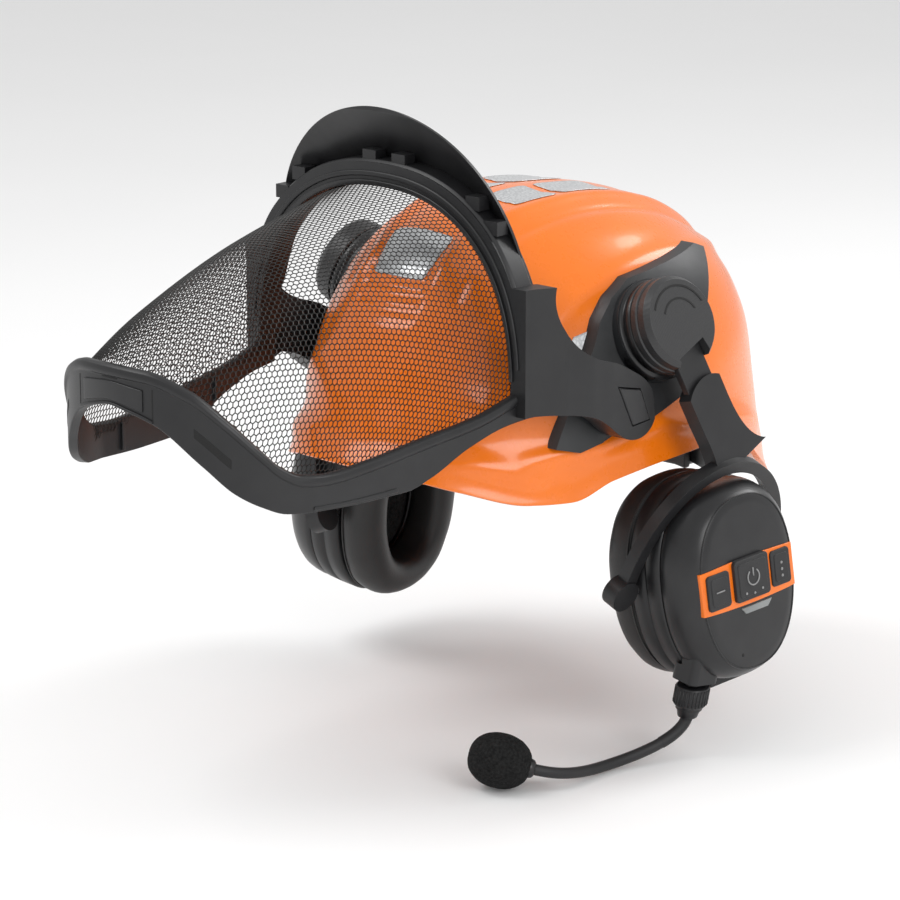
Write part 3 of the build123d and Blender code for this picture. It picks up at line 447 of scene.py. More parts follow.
# Raised ribs and pressed grooves of the shell: line on the left half, width, height (all mm).
SHELL_LINES = [
    ([(74, -96, 60), (75, -69, 80), (77, -37, 89), (73, 18, 93), (60, 60, 88), (40, 84, 80)], 7, 1.9),
    ([(82, -112, 4), (94, -72, 6), (101, -32, 13), (104, -2, 8), (103, 30, 4), (88, 70, -8)], 6, 2.2),
    ([(26, -122, 88), (24, -108, 102), (30, -68, 116), (32, -10, 121), (34, 30, 114), (34, 74, 94)], 6, 2.3),
    ([(37, -118, 82), (36, -107, 95), (42, -70, 111), (45, -10, 115), (46, 34, 107), (44, 70, 92)], 4, -1.5),
    ([(40, -130, 60), (44, -122, 66), (52, -106, 76)], 5, -1.4),
    ([(30, -142, 52), (46, -134, 40), (62, -122, 26)], 9, 1.6),
    ([(22, -162, 10), (58, -142, 6), (84, -108, -6)], 7, 1.4),
]
CHANNEL_HALF = 21


def shell_relief(points):
    """Height of the pressed pattern at each point, in millimetres."""
    mirrored = points * np.array([1, 1, 1.0])
    mirrored[..., 0] = np.abs(mirrored[..., 0])
    height = np.zeros(points.shape[:-1])
    for line, width, rise in SHELL_LINES:
        near = line_distance(mirrored, line) / width
        height += rise * np.exp(-near ** 2 * 1.4)
    x, y, z = mirrored[..., 0], mirrored[..., 1], mirrored[..., 2]
    in_channel = 1 / (1 + np.exp((x - CHANNEL_HALF) * 1.1))
    front = (y < -60) & (z > 60)
    stair = np.clip((z - 66) / 8, 0, 1) * np.clip((95 - z) / 3, 0, 1)
    treads = 1.3 * (np.abs(((z / 7.5) % 1) - 0.5) * 2 - 0.5)
    height += np.where(front, in_channel * stair * (treads - 1.2), 0)
    height -= np.where(z > 60, in_channel * np.clip((z - 92) / 4, 0, 1) * 1.1, 0)
    return height


def build_shell():
    around, rows = 420, 150
    turn = np.linspace(0, 2 * pi, around, endpoint=False)
    edge = np.full(around, -10.0)
    for _ in range(12):
        y = shell_surface(turn, edge)[:, 1]
        edge = smooth_curve(SHELL_EDGE[:, 0], SHELL_EDGE[:, 1], y)
    share = np.linspace(0, 1, rows) ** 0.92
    share = 1 - (1 - share) ** 1.35
    z = edge[None, :] + (SHELL_LEVELS[-1, 0] - edge)[None, :] * share[:, None]
    grid = shell_surface(np.broadcast_to(turn, z.shape), z)
    along = np.roll(grid, -1, 1) - np.roll(grid, 1, 1)
    upward = np.gradient(grid, axis=0)
    normal = np.cross(along, upward)
    normal /= np.linalg.norm(normal, axis=-1, keepdims=True) + 1e-9
    flare = np.clip(1 - (z - edge[None, :]) / 11, 0, 1) ** 2 * 1.8
    grid = grid + normal * (shell_relief(grid) + flare)[..., None]
    verts = list(grid.reshape(-1, 3) * MM)
    faces = grid_faces(rows, around)
    verts.append(np.array([0, SHELL_LEVELS[-1, 4], SHELL_LEVELS[-1, 0]]) * MM)
    top = (rows - 1) * around
    faces += [(top + i, top + (i + 1) % around, len(verts) - 1) for i in range(around)]
    piece = new_piece("shell_look", verts, faces, ORANGE, "root", ["shell"])
    tree = BVHTree.FromPolygons([Vector(v) for v in verts], faces)
    modifier(piece, "SOLIDIFY", thickness=2.8 * MM, offset=-1, use_rim=True)
    modifier(piece, "BEVEL", width=0.9 * MM, segments=3, limit_method="ANGLE", angle_limit=radians(55))
    return tree


SHELL_TREE = build_shell()


def on_shell(point, lift=0.0):
    """Nearest point of the shell, raised by lift, both in metres."""
    spot, normal, _, _ = SHELL_TREE.find_nearest(Vector(point))
    outward = spot - Vector((0, -0.01, 0.0))
    if normal.dot(outward) < 0:
        normal = -normal
    return spot + normal * lift


def foil_patch(name, corners, across=26, along=26, lift=0.55, stands_for=()):
    """Thin foil laid on the shell between four corners given in millimetres, with clipped corners."""
    a, b, c, d = (Vector(p) * MM for p in corners)
    verts = []
    for row in range(along):
        v = row / (along - 1)
        for column in range(across):
            u = column / (across - 1)
            squeeze = 1 - 0.09 * max(0, abs(2 * v - 1) - 0.78) / 0.22
            u = 0.5 + (u - 0.5) * squeeze
            low, high = a.lerp(b, u), d.lerp(c, u)
            verts.append(on_shell(low.lerp(high, v), lift * MM))
    piece = new_piece(name, verts, grid_faces(along, across, wrap=False), FOIL, "root", stands_for)
    modifier(piece, "SOLIDIFY", thickness=0.3 * MM, offset=-1)
    return piece


def build_foils():
    foil_patch("front_foil", [(-17, -125, 91), (17, -125, 91), (20, -100, 109), (-20, -100, 109)],
               stands_for=["front_reflector"])
    for side in (1, -1):
        for number, (near, far) in enumerate((((-60, 27), (-31, 30)), ((-24, 30), (14, 29)))):
            corners = [(side * 5, near[0], 121), (side * near[1], near[0], 118),
                       (side * far[1], far[0], 118), (side * 5, far[0], 121)]
            foil_patch(f"crown_foil_{number}_{side}", corners,
                       stands_for=["crown_reflectors"] if number == 0 and side == 1 else ())
        flank = [(side * 84, -99, 27), (side * 88, -84, 31), (side * 86, -66, 66), (side * 80, -78, 62)]
        foil_patch(f"flank_foil_{side}", flank, stands_for=["side_reflectors"] if side == 1 else ())


build_foils()


# ---------------------------------------------------------------- side plates and hubs
def build_hub(side_name, side):
    place = hub_place(side)
    refine(f"side_plate_{side_name}", PLATE, 1.4, 30, 4)
    base, hub_body = "root", f"hub_{side_name}"
    turned(f"hub_base_look_{side_name}", place,
           [(26.4, -6), (26.4, -1), (25.4, 0.4), (24.4, 0.6), (24.2, 2.4), (25, 2.8), (25, 6), (24.4, 6.9),
            (5, 7), (5, 11.4)], SATIN, base, [f"hub_base_{side_name}"])
    refine(f"hub_ring_{side_name}", TURNED, 0.7, 40)
    refine(f"hub_cap_{side_name}", TURNED, 0.9, 30, 4)
    refine(f"swing_pin_{side_name}", STEEL, 0.3)
    refine(f"arm_tongue_{side_name}", BLACK, 0.7)
    # Thin near-black arcs on the cap: painted shade standing for its grooves.
    for radius, low, high in ((19.2, 19.46, 19.75), (12.5, 19.46, 19.7)):
        outline = [(radius * cos(radians(t)), radius * sin(radians(t))) for t in range(25, 156, 4)]
        outline += [((radius - 1.1) * cos(radians(t)), (radius - 1.1) * sin(radians(t)))
                    for t in range(155, 24, -4)]
        plate_on(f"cap_line_{radius:.0f}_{side_name}", place, outline, low, high, SHADE_AND_SEAM_BLACK, hub_body,
                 bevel=0.1)


# ---------------------------------------------------------------- forks
def build_fork(side_name):
    refine(f"ear_fork_{side_name}", BLACK, 1.6, 30, 4)
    refine(f"fork_pins_{side_name}", STEEL, 0.3)


# ---------------------------------------------------------------- ear cups
def build_cup(side_name, side):
    place, body = cup_place(side), f"cup_{side_name}"
    oval_loft(f"cup_back_{side_name}", place,
              [(-4, 24, 34), (-4, 40.5, 50.5), (-3.6, 43.2, 53.2), (-2.4, 44.2, 54.2), (6, 43.9, 53.9),
               (6.6, 43.2, 53.2), (7.6, 43.2, 53.2), (8.2, 43.8, 53.8), (15.6, 43.2, 53.2),
               (16.6, 42.6, 52.6), (16.8, 41, 51), (14, 40, 50), (-1.6, 40, 50), (-1.6, 24, 34)],
              BLACK, body, [f"cup_housing_{side_name}"], ring=True)
    cover = [(16.9, 40, 50), (17.1, 42.2, 52.2), (17.8, 42.6, 52.6), (21, 42.6, 52.8), (25, 41.9, 52.2),
             (29, 40.6, 51.2), (32.5, 38.4, 49.4), (35.4, 35.8, 47.5), (37.2, 33.6, 46), (38, 31.5, 44.6),
             (38.25, 28, 41), (38.3, 14, 22), (38.3, 1, 1.6)]
    if side_name == "left":
        oval_loft("cup_cover_skin", place, cover, SATIN, body, ["cup_cover_left"])
    else:
        oval_loft("cup_cover_skin_right", place, cover, SATIN, body, ["cup_cover_right"])
        ring = [oval_point(2 * pi * i / 72, 25, 34) for i in range(72)]
        inner = [oval_point(2 * pi * i / 72, 23.6, 32.6) for i in range(72)]
        verts = [place(a, b, 38.1) for a, b in ring] + [place(a, b, 38.9) for a, b in ring]
        verts += [place(a, b, 38.9) for a, b in inner] + [place(a, b, 38.1) for a, b in inner]
        faces = grid_faces(4, 72) + [(216 + i, 216 + (i + 1) % 72, (i + 1) % 72, i) for i in range(72)]
        new_piece("cover_step_right", verts, faces, SATIN, body)
    speaker = [(0.5, -1), (10, -1), (10.5, -0.6), (19, -0.6), (19.2, 3), (11, 4.5), (11, 8), (1, 8.2)]
    turned(f"speaker_look_{side_name}", place, [(r, h + 2) for r, h in speaker], BLACK, body,
           [f"speaker_{side_name}"])
    liner = oval_loft(f"ear_liner_look_{side_name}", place,
                      [(-1.5, 23.6, 33.6), (-1.5, 8, 12), (-2.2, 7, 11), (-3.4, 12, 18), (-4.2, 17, 26),
                       (-3.8, 20.4, 30.4), (-2.6, 20.8, 30.8)], LINER, body,
                      [f"ear_liner_{side_name}"])
    build_cushion(side_name, side)


def inflate(piece, cap):
    """Cloth pass of the padded pieces: swell under pressure, hold the move to cap, keep the mesh."""
    start = np.array([v.co for v in piece.data.vertices])
    cloth = modifier(piece, "CLOTH")
    cloth.settings.use_pressure = True
    cloth.settings.uniform_pressure_force = 4
    cloth.settings.effector_weights.gravity = 0
    cloth.settings.tension_stiffness = cloth.settings.compression_stiffness = 40
    cloth.point_cache.frame_start, cloth.point_cache.frame_end = 1, 20
    scene = bpy.context.scene
    for number in range(1, 21):
        scene.frame_set(number)
    graph = bpy.context.evaluated_depsgraph_get()
    swollen = np.array([v.co for v in piece.evaluated_get(graph).data.vertices])
    piece.modifiers.remove(cloth)
    scene.frame_set(1)
    if len(swollen) == len(start):
        move = swollen - start
        length = np.linalg.norm(move, axis=1, keepdims=True) + 1e-9
        move *= np.minimum(1, cap * MM / length)
        start = start + move
    piece.data.vertices.foreach_set("co", start.astype(np.float32).ravel())
    piece.data.update()


def build_cushion(side_name, side):
    """Ring cushion of thin skin over foam, with a sewn seam at the back and a pinched inner edge."""
    place, body = cup_place(side), f"cup_{side_name}"
    sections = [(-4.6, 41, 51), (-6, 42.6, 52.6), (-9, 43.6, 53.6), (-13, 44, 54), (-18, 43.2, 53.2),
                (-22.5, 40.8, 50.8), (-25.4, 37, 47), (-26.6, 32.6, 42.6), (-26, 28.2, 38.2),
                (-24, 24.8, 34.8), (-20, 22.8, 32.8), (-12, 22, 32), (-5, 22, 32), (-4.6, 24, 34)]
    cushion = oval_loft(f"ear_cushion_look_{side_name}", place, sections, LEATHER, body,
                        [f"ear_cushion_{side_name}"], around=80, ring=True)
    inflate(cushion, 1.1)
    wrinkle = np.array([v.co for v in cushion.data.vertices])
    for index, vertex in enumerate(cushion.data.vertices):
        swing = noise.noise(Vector(wrinkle[index]) * 95)
        vertex.co = vertex.co + vertex.normal * swing * 0.35 * MM
    modifier(cushion, "SUBSURF", levels=1, render_levels=1)
    seam = [place(*oval_point(2 * pi * i / 120, 42.9, 52.9), -6.4) for i in range(121)]
    tube(f"cushion_piping_{side_name}", seam, [0.55 * MM] * 121, LEATHER, body, around=8)


# ---------------------------------------------------------------- controls on the left cup
FACE = 38.3


def build_controls():
    place, body = cup_place(1), "cup_left"

    def strip_bounds(a):
        return 13.6 - 0.004 * abs(a) ** 1.6, -11.4 + 0.004 * abs(a) ** 1.6

    columns = 60
    verts = []
    for level in (FACE - 2.2, FACE + 0.7):
        for edge in (0, 1):
            for i in range(columns + 1):
                a = -34.6 + 68 * i / columns
                b = strip_bounds(a)[edge]
                drop = 0.0022 * max(0, abs(a) - 22) ** 2.35
                verts.append(place(a, b, level - drop))
    n = columns + 1
    faces = []
    for i in range(columns):
        faces += [(i, i + 1, n + i + 1, n + i), (2 * n + i, 2 * n + i + 1, 3 * n + i + 1, 3 * n + i),
                  (i, i + 1, 2 * n + i + 1, 2 * n + i), (n + i, n + i + 1, 3 * n + i + 1, 3 * n + i)]
    faces += [(0, n, 3 * n, 2 * n), (n - 1, 2 * n - 1, 4 * n - 1, 3 * n - 1)]
    strip = new_piece("accent_strip_look", verts, faces, ACCENT, body, ["accent_strip"])
    modifier(strip, "BEVEL", width=0.4 * MM, segments=3, limit_method="ANGLE", angle_limit=radians(40))
    for name, (from_a, to_a, from_b, to_b, height) in {
            "power_key": (-12.6, 12.6, -8.6, 13.6, 3.4), "front_key": (-31.6, -15.4, -8.4, 10.6, 2.2),
            "rear_key": (15.4, 29.6, -7.6, 11.6, 2.2)}.items():
        outline = rounded(from_a, to_a, from_b, to_b, 2.2)
        plate_on(f"{name}_look", place, outline, 34.2, FACE + height - 0.4, RUBBER, name, [name], 0.7)
        inner = rounded(from_a + 2.2, to_a - 2.2, from_b + 2.2, to_b - 2.2, 1.6)
        plate_on(f"{name}_raised", place, inner, FACE + height - 1, FACE + height, RUBBER, name,
                 (), 0.5)
    top = FACE + 3.4
    ring = []
    for i in range(41):
        turn = radians(90 + 38 + (360 - 76) * i / 40)
        ring.append(place(4.2 * cos(turn), 3 + 4.2 * sin(turn), top + 0.1))
    tube("power_ring", ring, [0.42 * MM] * len(ring), PRINT, "power_key", around=8)
    tube("power_bar", [place(0, 3.6, top + 0.1), place(0, 8, top + 0.1)], [0.42 * MM] * 2, PRINT, "power_key",
         around=8)
    for number, (a, b) in enumerate(((-6, -4.6), (0, -5.6), (6, -4.6))):
        turned(f"power_dot_{number}", place,
               [(0.1, top - 0.2), (0.7, top - 0.1), (0.7, top + 0.15), (0.2, top + 0.3)],
               PRINT, "power_key", around=20, centre=(a, b))
    tube("front_minus", [place(-26.5, 1, FACE + 2.3), place(-20.5, 1, FACE + 2.3)], [0.4 * MM] * 2, PRINT,
         "front_key", around=8)
    for b in (-2.5, 1, 4.5):
        turned(f"rear_dot_{b:.0f}", place,
               [(0.1, FACE + 2), (0.8, FACE + 2.1), (0.8, FACE + 2.4), (0.2, FACE + 2.5)], PRINT, "rear_key",
               around=20, centre=(22.5, b))
    plate_on("light_window_look", place, [(-8, -12.6), (15, -12.6), (11.5, -16.2), (-5, -16.2)], FACE - 1,
             FACE + 0.6, WINDOW, body, ["light_window"], 0.4)
    # Near-black disc where the mic port opens: painted shade of the hole.
    turned("mic_hole", place, [(0.2, 36.9), (1.1, 37), (1.1, 38.2), (0.6, 38.5), (0.1, 38.4)], SHADE_AND_SEAM_BLACK, body,
           around=24, centre=(-10, -37))
    refine("port_cover", RUBBER, 1.0)
    refine("circuit_board", BOARD, 0.2)
    rim = [place(*oval_point(2 * pi * i / 120, 33.4, 45.8), 37.35) for i in range(121)]
    tube("face_crease", rim, [0.5 * MM] * 121, SATIN, body, around=8)


# ---------------------------------------------------------------- boom microphone
BOOM_TOP = Vector(JOINTS["boom_swivel"]["pos_m"])
BOOM_AXIS = unit(*JOINTS["boom_swivel"]["axis"])
MIC_CENTRE = Vector((0.090, -0.144, -0.145))
TUBE_END = Vector((0.103, -0.134, -0.149))
NECK_LOW = Vector((0.116, -0.080, -0.156))


def hermite(a, b, ta, tb, t):
    return (a * (1 + 2 * t) * (1 - t) ** 2 + b * t * t * (3 - 2 * t)
            + ta * t * (1 - t) ** 2 - tb * t * t * (1 - t))


def build_boom():
    place = Place(BOOM_TOP, ACROSS, BOOM_AXIS)
    refine("boom_mount", BLACK, 1.2, 30, 4)
    turned("boom_nut_look", place,
           [(4.05, 8.4), (8.2, 8.4), (8.8, 9.2), (8.8, 18.4), (8, 19.4), (7.2, 20), (7, 21.4), (6.2, 22),
            (5.2, 25.6), (3.4, 26.2), (0.5, 26.2), (0.5, 18.6), (4.05, 18.6)],
           BLACK, "boom", ["boom_nut"])
    for i in range(28):
        turn = 2 * pi * i / 28
        ridge = [place(8.75 * cos(turn), 8.75 * sin(turn), height) for height in (9.6, 18)]
        tube(f"nut_rib_{i}", ridge, [0.5 * MM] * 2, BLACK, "boom", around=8)
    mouth = BOOM_TOP + BOOM_AXIS * 25.4 * MM
    mic_axis = (MIC_CENTRE - TUBE_END).normalized()
    reach = (NECK_LOW - mouth).length
    middle = (TUBE_END - mouth).normalized()
    points = [hermite(mouth, NECK_LOW, BOOM_AXIS * reach * 0.8, middle * reach, t / 60) for t in range(60)]
    reach = (TUBE_END - NECK_LOW).length
    points += [hermite(NECK_LOW, TUBE_END, middle * reach, mic_axis * reach, t / 60) for t in range(61)]
    dense = []
    for a, b in zip(points[:-1], points[1:]):
        dense += [a, a.lerp(b, 0.5)]
    dense.append(points[-1])
    ribbed = [(2.9 + 0.32 * (index % 2) * (1 if index < 60 else 0)) * MM for index in range(len(dense))]
    tube("gooseneck_look", dense, ribbed, RUBBER, "boom", ["gooseneck"])
    collar = Place(TUBE_END, mic_axis.orthogonal(), mic_axis)
    turned("mic_collar_look", collar,
           [(0.5, -1.4), (3.4, -1.4), (4.6, -0.4), (5, 1), (5, 3), (4.4, 3.6), (4.4, 4.4), (5, 5), (4.8, 7.4),
            (1, 8)], SATIN, "boom", ["mic_collar"])
    foam = Place(MIC_CENTRE, mic_axis.orthogonal(), mic_axis)
    profile = []
    for step in range(41):
        turn = pi * step / 40
        height = -16.4 * cos(turn)
        girth = 14.3 * sin(turn) ** 0.82
        profile.append((max(0.2, girth), height))
    head = turned("mic_foam_look", foam, profile, SPONGE, "boom", ["mic_foam"], around=96)
    modifier(head, "SUBSURF", levels=1, render_levels=1)
    depths = head.data
    for vertex in depths.vertices:
        cells = noise.voronoi(vertex.co * 900)[0]
        vertex.co = vertex.co + vertex.normal * (cells[1] - cells[0] - 0.35) * 0.5 * MM


# ---------------------------------------------------------------- visor
ARCH_BASE, ARCH_TOP, ARCH_HALF, ARCH_POWER = 46, 138.5, 87.5, 2.3
MESH_SECTIONS = np.array([(-322, 52, 12, 80, 1.8), (-266, 70.4, 19, 101, 2.1), (-200, 79, 26, 122, 2.3),
                          (-129, 86.2, 38, 138, 2.3)])
CORNER_HALF, NOSE, BOW_DEPTH = 72, -318, 56     # rim: half width at its corners, and how far it bows forward
BOW_RADIUS = (CORNER_HALF ** 2 + BOW_DEPTH ** 2) / (2 * BOW_DEPTH)
BOW_MIDDLE = NOSE + BOW_RADIUS
WIRE_CELL = 3.4


def arch_point(turn, grow_x, grow_z, y):
    across = power(cos(turn), 2 / ARCH_POWER) * (ARCH_HALF + grow_x)
    height = ARCH_BASE + (ARCH_TOP - ARCH_BASE + grow_z) * sin(turn) ** (2 / ARCH_POWER)
    return Vector((across, y, height)) * MM


def arch_ribbon(name, profile, mat, stands_for=(), low=0.0):
    """Ring of constant profile along the arch: profile as (outward, forward y) points."""
    steps = 140
    verts = []
    for step in range(steps + 1):
        turn = low + (pi - 2 * low) * step / steps
        for outward, y in profile:
            verts.append(arch_point(turn, outward, outward * 1.16, y))
    faces = grid_faces(steps + 1, len(profile))
    faces += [tuple(range(len(profile))), tuple(range(steps * len(profile), (steps + 1) * len(profile)))]
    piece = new_piece(name, verts, faces, mat, "visor", stands_for)
    modifier(piece, "BEVEL", width=0.5 * MM, segments=2, limit_method="ANGLE", angle_limit=radians(35))
    modifier(piece, "WEIGHTED_NORMAL", keep_sharp=True)
    return piece


def hood_point(u, y):
    """Point of the mesh hood at arc length u from its crown (mm) and distance forward y."""
    half, low, high, square = (smooth_curve(MESH_SECTIONS[:, 0], MESH_SECTIONS[:, i], np.array([y]))[0]
                               for i in (1, 2, 3, 4))
    turns = HOOD_TURNS
    x = half * np.cos(turns) ** (2 / square)
    z = low + (high - low) * np.sin(turns) ** (2 / square)
    length = np.concatenate([[0], np.cumsum(np.hypot(np.diff(x), np.diff(z)))])
    side = abs(u)
    if side > length[-1]:
        return None
    return Vector((np.interp(side, length, x) * (1 if u >= 0 else -1), y, np.interp(side, length, z)))


HOOD_TURNS = np.linspace(pi / 2, 0.0001, 160)


def inside_visor(p):
    """Whether a hood point lies within the frame of arch, side bars and bow."""
    bar = np.interp(p.y, [-262, -228, -193, -158, -131], [22, 23, 28, 32, 38])
    if p.y < BOW_MIDDLE:
        return sqrt(p.x ** 2 + (p.y - BOW_MIDDLE) ** 2) < BOW_RADIUS + 1.2
    return p.z > bar


def build_mesh():
    """Honeycomb of fine wire: every strand is a small prism following the hood."""
    row_pitch, column_pitch = WIRE_CELL * 0.75, WIRE_CELL * sqrt(3) / 2
    verts, faces = [], []
    corners = {}

    def corner(u, v):
        key = (round(u * 50), round(v * 50))
        if key not in corners:
            corners[key] = hood_point(u, v)
        return corners[key]

    def strand(p, q):
        ahead = (q - p).normalized()
        outward = Vector((p.x, 0.2 * (p.y + 230), p.z - 30)).normalized()
        sideways = ahead.cross(outward).normalized()
        base = len(verts)
        for spot in (p, q):
            for s, o in ((0.3, 0.0), (-0.3, 0.0), (0, 0.42)):
                verts.append((spot + sideways * s + outward * o) * MM)
        for i in range(3):
            j = (i + 1) % 3
            faces.append((base + i, base + j, base + 3 + j, base + 3 + i))
        faces.append((base, base + 2, base + 1))
        faces.append((base + 3, base + 4, base + 5))

    rows = int(200 / row_pitch)
    columns = int(165 / column_pitch)
    for row in range(rows):
        v = -126 - row * row_pitch
        shift = column_pitch / 2 if row % 2 else 0
        for column in range(-columns, columns + 1):
            u = column * column_pitch + shift
            hexagon = [(u, v + WIRE_CELL / 2), (u + column_pitch / 2, v + WIRE_CELL / 4),
                       (u + column_pitch / 2, v - WIRE_CELL / 4), (u, v - WIRE_CELL / 2)]
            points = [corner(*h) for h in hexagon]
            for p, q in zip(points[:-1], points[1:]):
                if p is not None and q is not None and inside_visor(p) and inside_visor(q) and p.y > -322:
                    strand(p, q)
    mesh = bpy.data.meshes.new("visor_mesh_look")
    mesh.from_pydata([tuple(v) for v in verts], [], faces)
    mesh.materials.append(WIRE)
    piece = bpy.data.objects.new("visor_mesh_look", mesh)
    bpy.context.scene.collection.objects.link(piece)
    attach(piece, "visor")
    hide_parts("visor_mesh")


def build_visor():
    refine("visor_arch", BLACK, 1.3, 30, 4)
    arch_ribbon("arch_bead", [(-0.9, -134.8), (1.6, -135.4), (1.8, -133.6), (-0.9, -133.2)], SATIN, low=0.03)
    arch_ribbon("arch_step_inner", [(3.4, -135.0), (5.4, -135.0), (5.8, -133.8), (3.0, -133.8)], BLACK,
                low=0.08)
    arch_ribbon("arch_step_outer", [(9.2, -133.4), (10.6, -131.6), (10.6, -121), (9.2, -119)], BLACK, low=0.3)
    build_rim()
    refine("visor_peak", SATIN, 0.6, 30)
    refine("peak_clips", BLACK, 1.0, 30)
    for side_name, _ in SIDES:
        refine(f"visor_button_{side_name}", SATIN, 0.9, 30, 4)
    build_mesh()


# Rim: upper and lower edge against the distance along its inner face from the middle of the nose.
RIM_UPPER = np.array([(-19, 78.2), (0, 79), (19, 78.2), (41, 70.2), (59, 55.3), (74, 40.2), (82, 32.5),
                      (93, 27), (109, 25.4), (133, 27.3), (167, 32), (203, 37), (228, 44), (240, 48)])
RIM_LOWER = np.array([(-12, 57.1), (0, 59.5), (12, 57.1), (25, 52.4), (47, 33.9), (61, 20.8), (73, 13.8),
                      (85, 9.3), (101, 8.2), (128, 7.2), (156, 7.5), (173, 12), (196, 22), (221, 29),
                      (240, 31)])
BOW_REACH = BOW_RADIUS * atan2(CORNER_HALF, BOW_MIDDLE - (NOSE + BOW_DEPTH))
BAR_AHEAD = unit(14.6, 131, 0)


def rim_point(along, out, z):
    """Point of the rim at a signed distance along it, moved outwards from its inner face."""
    side = 1 if along >= 0 else -1
    reach = abs(along)
    if reach < BOW_REACH:
        turn = reach / BOW_RADIUS
        x, y = (BOW_RADIUS + out) * sin(turn), BOW_MIDDLE - (BOW_RADIUS + out) * cos(turn)
    else:
        turn = BOW_REACH / BOW_RADIUS
        outward = Vector((BAR_AHEAD.y, -BAR_AHEAD.x, 0))
        spot = Vector((BOW_RADIUS * sin(turn), BOW_MIDDLE - BOW_RADIUS * cos(turn), 0))
        spot += BAR_AHEAD * (reach - BOW_REACH) + outward * out
        x, y = spot.x, spot.y
    return Vector((x * side, y, z)) * MM


def rim_edges(along):
    """Height of the rim's upper and lower edge at a signed distance along it."""
    at = np.array([abs(along)])
    return tuple(smooth_curve(edge[:, 0], edge[:, 1], at)[0] for edge in (RIM_UPPER, RIM_LOWER))


def rim_strip(name, from_along, to_along, profile, mat, steps, bevel=0.5, stands_for=()):
    """Sweep of a profile of (outward, share of the height, extra height) along the rim."""
    verts = []
    for step in range(steps + 1):
        along = from_along + (to_along - from_along) * step / steps
        top, bottom = rim_edges(along)
        for out, share, extra in profile:
            verts.append(rim_point(along, out, bottom + (top - bottom) * share + extra))
    columns = len(profile)
    faces = grid_faces(steps + 1, columns)
    faces += [tuple(range(columns)), tuple(range(steps * columns, (steps + 1) * columns))]
    piece = new_piece(name, verts, faces, mat, "visor", stands_for)
    modifier(piece, "BEVEL", width=bevel * MM, segments=3, limit_method="ANGLE", angle_limit=radians(30))
    modifier(piece, "WEIGHTED_NORMAL", keep_sharp=True)
    return piece


def build_rim():
    """Band round the open front of the mesh, with a rolled upper edge, blank plate and slots."""
    band = [(0, 0, 0), (4.2, 0, 0), (4.6, 0, 1.2), (4.6, 1, -5.4), (5.6, 1, -4.4), (5.9, 1, -2.6),
            (5.2, 1, -0.6), (3.8, 1, 0.3), (1.4, 1, 0.4), (0, 1, -0.6)]
    rim_strip("visor_rim_look", -238, 238, band, BLACK, 240, 0.4, ("visor_rim",))

    def panel(name, start, end, low, high, out, mat, steps=24):
        section = [(3.6, low, 0), (out, low, 0), (out, high, 0), (3.6, high, 0)]
        rim_strip(name, start, end, section, mat, steps)

    panel("nose_plate", -19, 19, 0.16, 0.62, 5.5, SATIN)
    panel("nose_ledge", -24, 24, 0.02, 0.09, 5.6, BLACK)
    # Near-black strip on the nose: painted shade inside the slot.
    panel("nose_slot", -5, 5, 0.68, 0.74, 4.8, SHADE_AND_SEAM_BLACK)
    for side in (1, -1):
        # bow_slot strips are painted shade inside the slots; bow_seam draws the dark seam line in the same
        # near-black.
        panel(f"bow_slot_{side}", side * 43, side * 60, 0.34, 0.5, 4.78, SHADE_AND_SEAM_BLACK)
        panel(f"bow_seam_{side}", side * 23.4, side * 24.4, 0.03, 0.72, 4.78, SHADE_AND_SEAM_BLACK, 2)
        panel(f"bar_ledge_{side}", side * 98, side * 150, 0.06, 0.16, 5.2, BLACK)
        for index, along in enumerate((112, 150, 186)):
            inner_rib = [(-1.6, 0.1, 0), (0.6, 0.1, 0), (0.6, 0.9, 0), (-1.6, 0.9, 0)]
            rim_strip(f"inner_rib_{side}_{index}", side * along, side * (along + 2), inner_rib, BLACK, 2, 0.4)


# ---------------------------------------------------------------- harness
def build_harness():
    refine("headband", BLACK, 0.6)
    band = refine("sweatband", TERRY, 1.4, 30, 4)
    refine("cradle_straps", WEBBING, 0.3)
    refine("harness_hangers", BLACK, 0.8)
    refine("nape_band", BLACK, 0.6)
    refine("ratchet_housing", BLACK, 1.0)
    refine("ratchet_knob", RUBBER, 0.6)
    refine("ratchet_pinion", BLACK, 0.3)
    pad = refine("nape_pad", TERRY, 1.6, 30, 4)


for side_name, side in SIDES:
    build_hub(side_name, side)
    build_fork(side_name)
    build_cup(side_name, side)
build_controls()
refine("battery", CELL, 0.6)
build_boom()
build_visor()
build_harness()


# ---------------------------------------------------------------- studio
def area_light(name, place, target, size, watts, tint=(1, 1, 1)):
    data = bpy.data.lights.new(name, "AREA")
    data.shape, data.size, data.energy, data.color = "DISK", size, watts, tint
    light = bpy.data.objects.new(name, data)
    light.location = place
    light.rotation_mode = "QUATERNION"
    light.rotation_quaternion = (Vector(target) - Vector(place)).to_track_quat("-Z", "Y")
    bpy.context.scene.collection.objects.link(light)


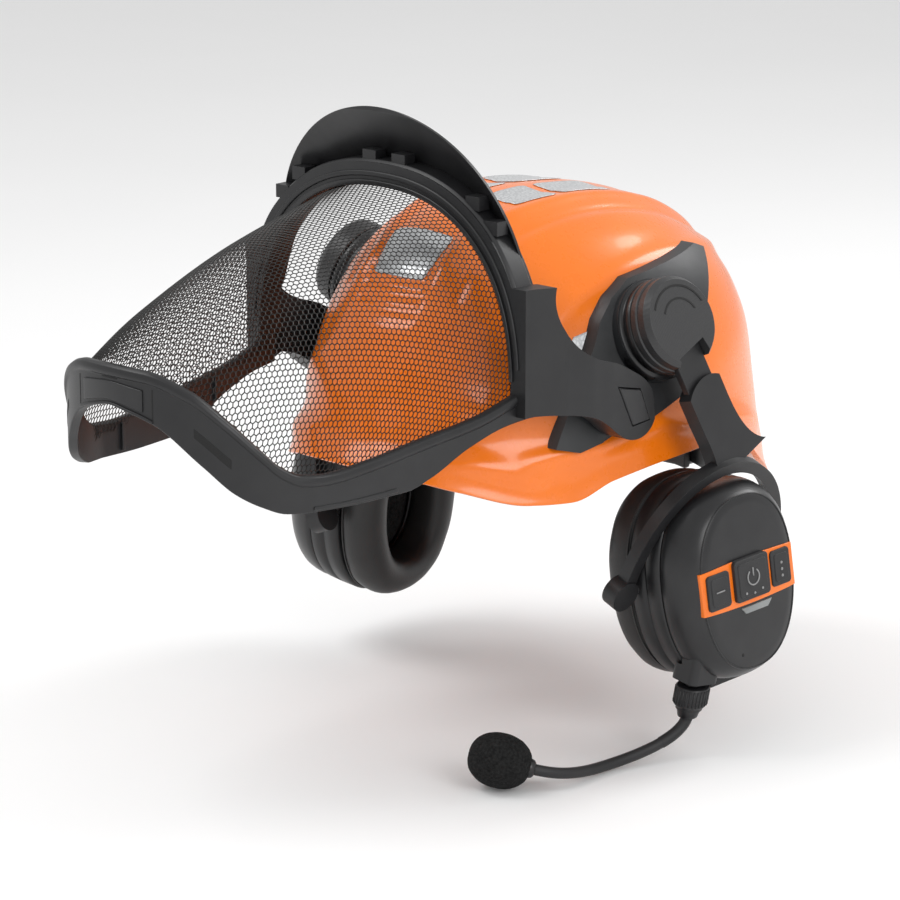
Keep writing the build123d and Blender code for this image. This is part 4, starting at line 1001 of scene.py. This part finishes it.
def build_studio():
    low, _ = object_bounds()
    mesh = bpy.data.meshes.new("floor")
    reach, level = 12, low.z - 0.001
    corners = [(-reach, -reach, level), (reach, -reach, level), (reach, reach, level), (-reach, reach, level)]
    mesh.from_pydata(corners, [], [(0, 1, 2, 3)])
    mat, nodes, links, shader = node_material("pale_floor")
    where = nodes.new("ShaderNodeTexCoord")
    soft = noise_node(nodes, links, where, 3)
    ramp = nodes.new("ShaderNodeValToRGB")
    ramp.color_ramp.elements[0].color = (0.90, 0.90, 0.90, 1)
    ramp.color_ramp.elements[1].color = (0.93, 0.93, 0.93, 1)
    links.new(soft.outputs["Fac"], ramp.inputs["Fac"])
    links.new(ramp.outputs["Color"], shader.inputs["Base Color"])
    shader.inputs["Roughness"].default_value = 0.9
    mesh.materials.append(mat)
    floor = bpy.data.objects.new("floor", mesh)
    bpy.context.scene.collection.objects.link(floor)
    world = bpy.data.worlds.new("studio")
    bpy.context.scene.world = world
    world.use_nodes = True
    background = world.node_tree.nodes["Background"]
    background.inputs["Color"].default_value = (1.0, 1.0, 1.0, 1)
    background.inputs["Strength"].default_value = 0.72
    middle = (0, -0.06, 0.0)
    area_light("key", (-0.7, -0.9, 1.5), middle, 1.0, 14)
    area_light("side", (1.5, -0.5, 0.7), middle, 0.9, 9)
    area_light("back", (0.5, 1.3, 1.0), middle, 0.8, 10)
    bpy.context.scene.view_settings.view_transform = "Standard"


def build_camera():
    """View from 42 degrees round from the front and 15 degrees up."""
    turn, rise, distance = radians(42), radians(15), 2.0
    target = Vector((-0.0362, -0.0416, -0.0250))
    back = Vector((sin(turn) * cos(rise), -cos(turn) * cos(rise), sin(rise)))
    data = bpy.data.cameras.new("camera")
    data.lens, data.sensor_width, data.clip_end = 148, 36, 100
    camera = bpy.data.objects.new("camera", data)
    camera.location = target + back * distance
    camera.rotation_mode = "QUATERNION"
    camera.rotation_quaternion = (-back).to_track_quat("-Z", "Y")
    bpy.context.scene.collection.objects.link(camera)
    bpy.context.scene.camera = camera


build_studio()
build_camera()
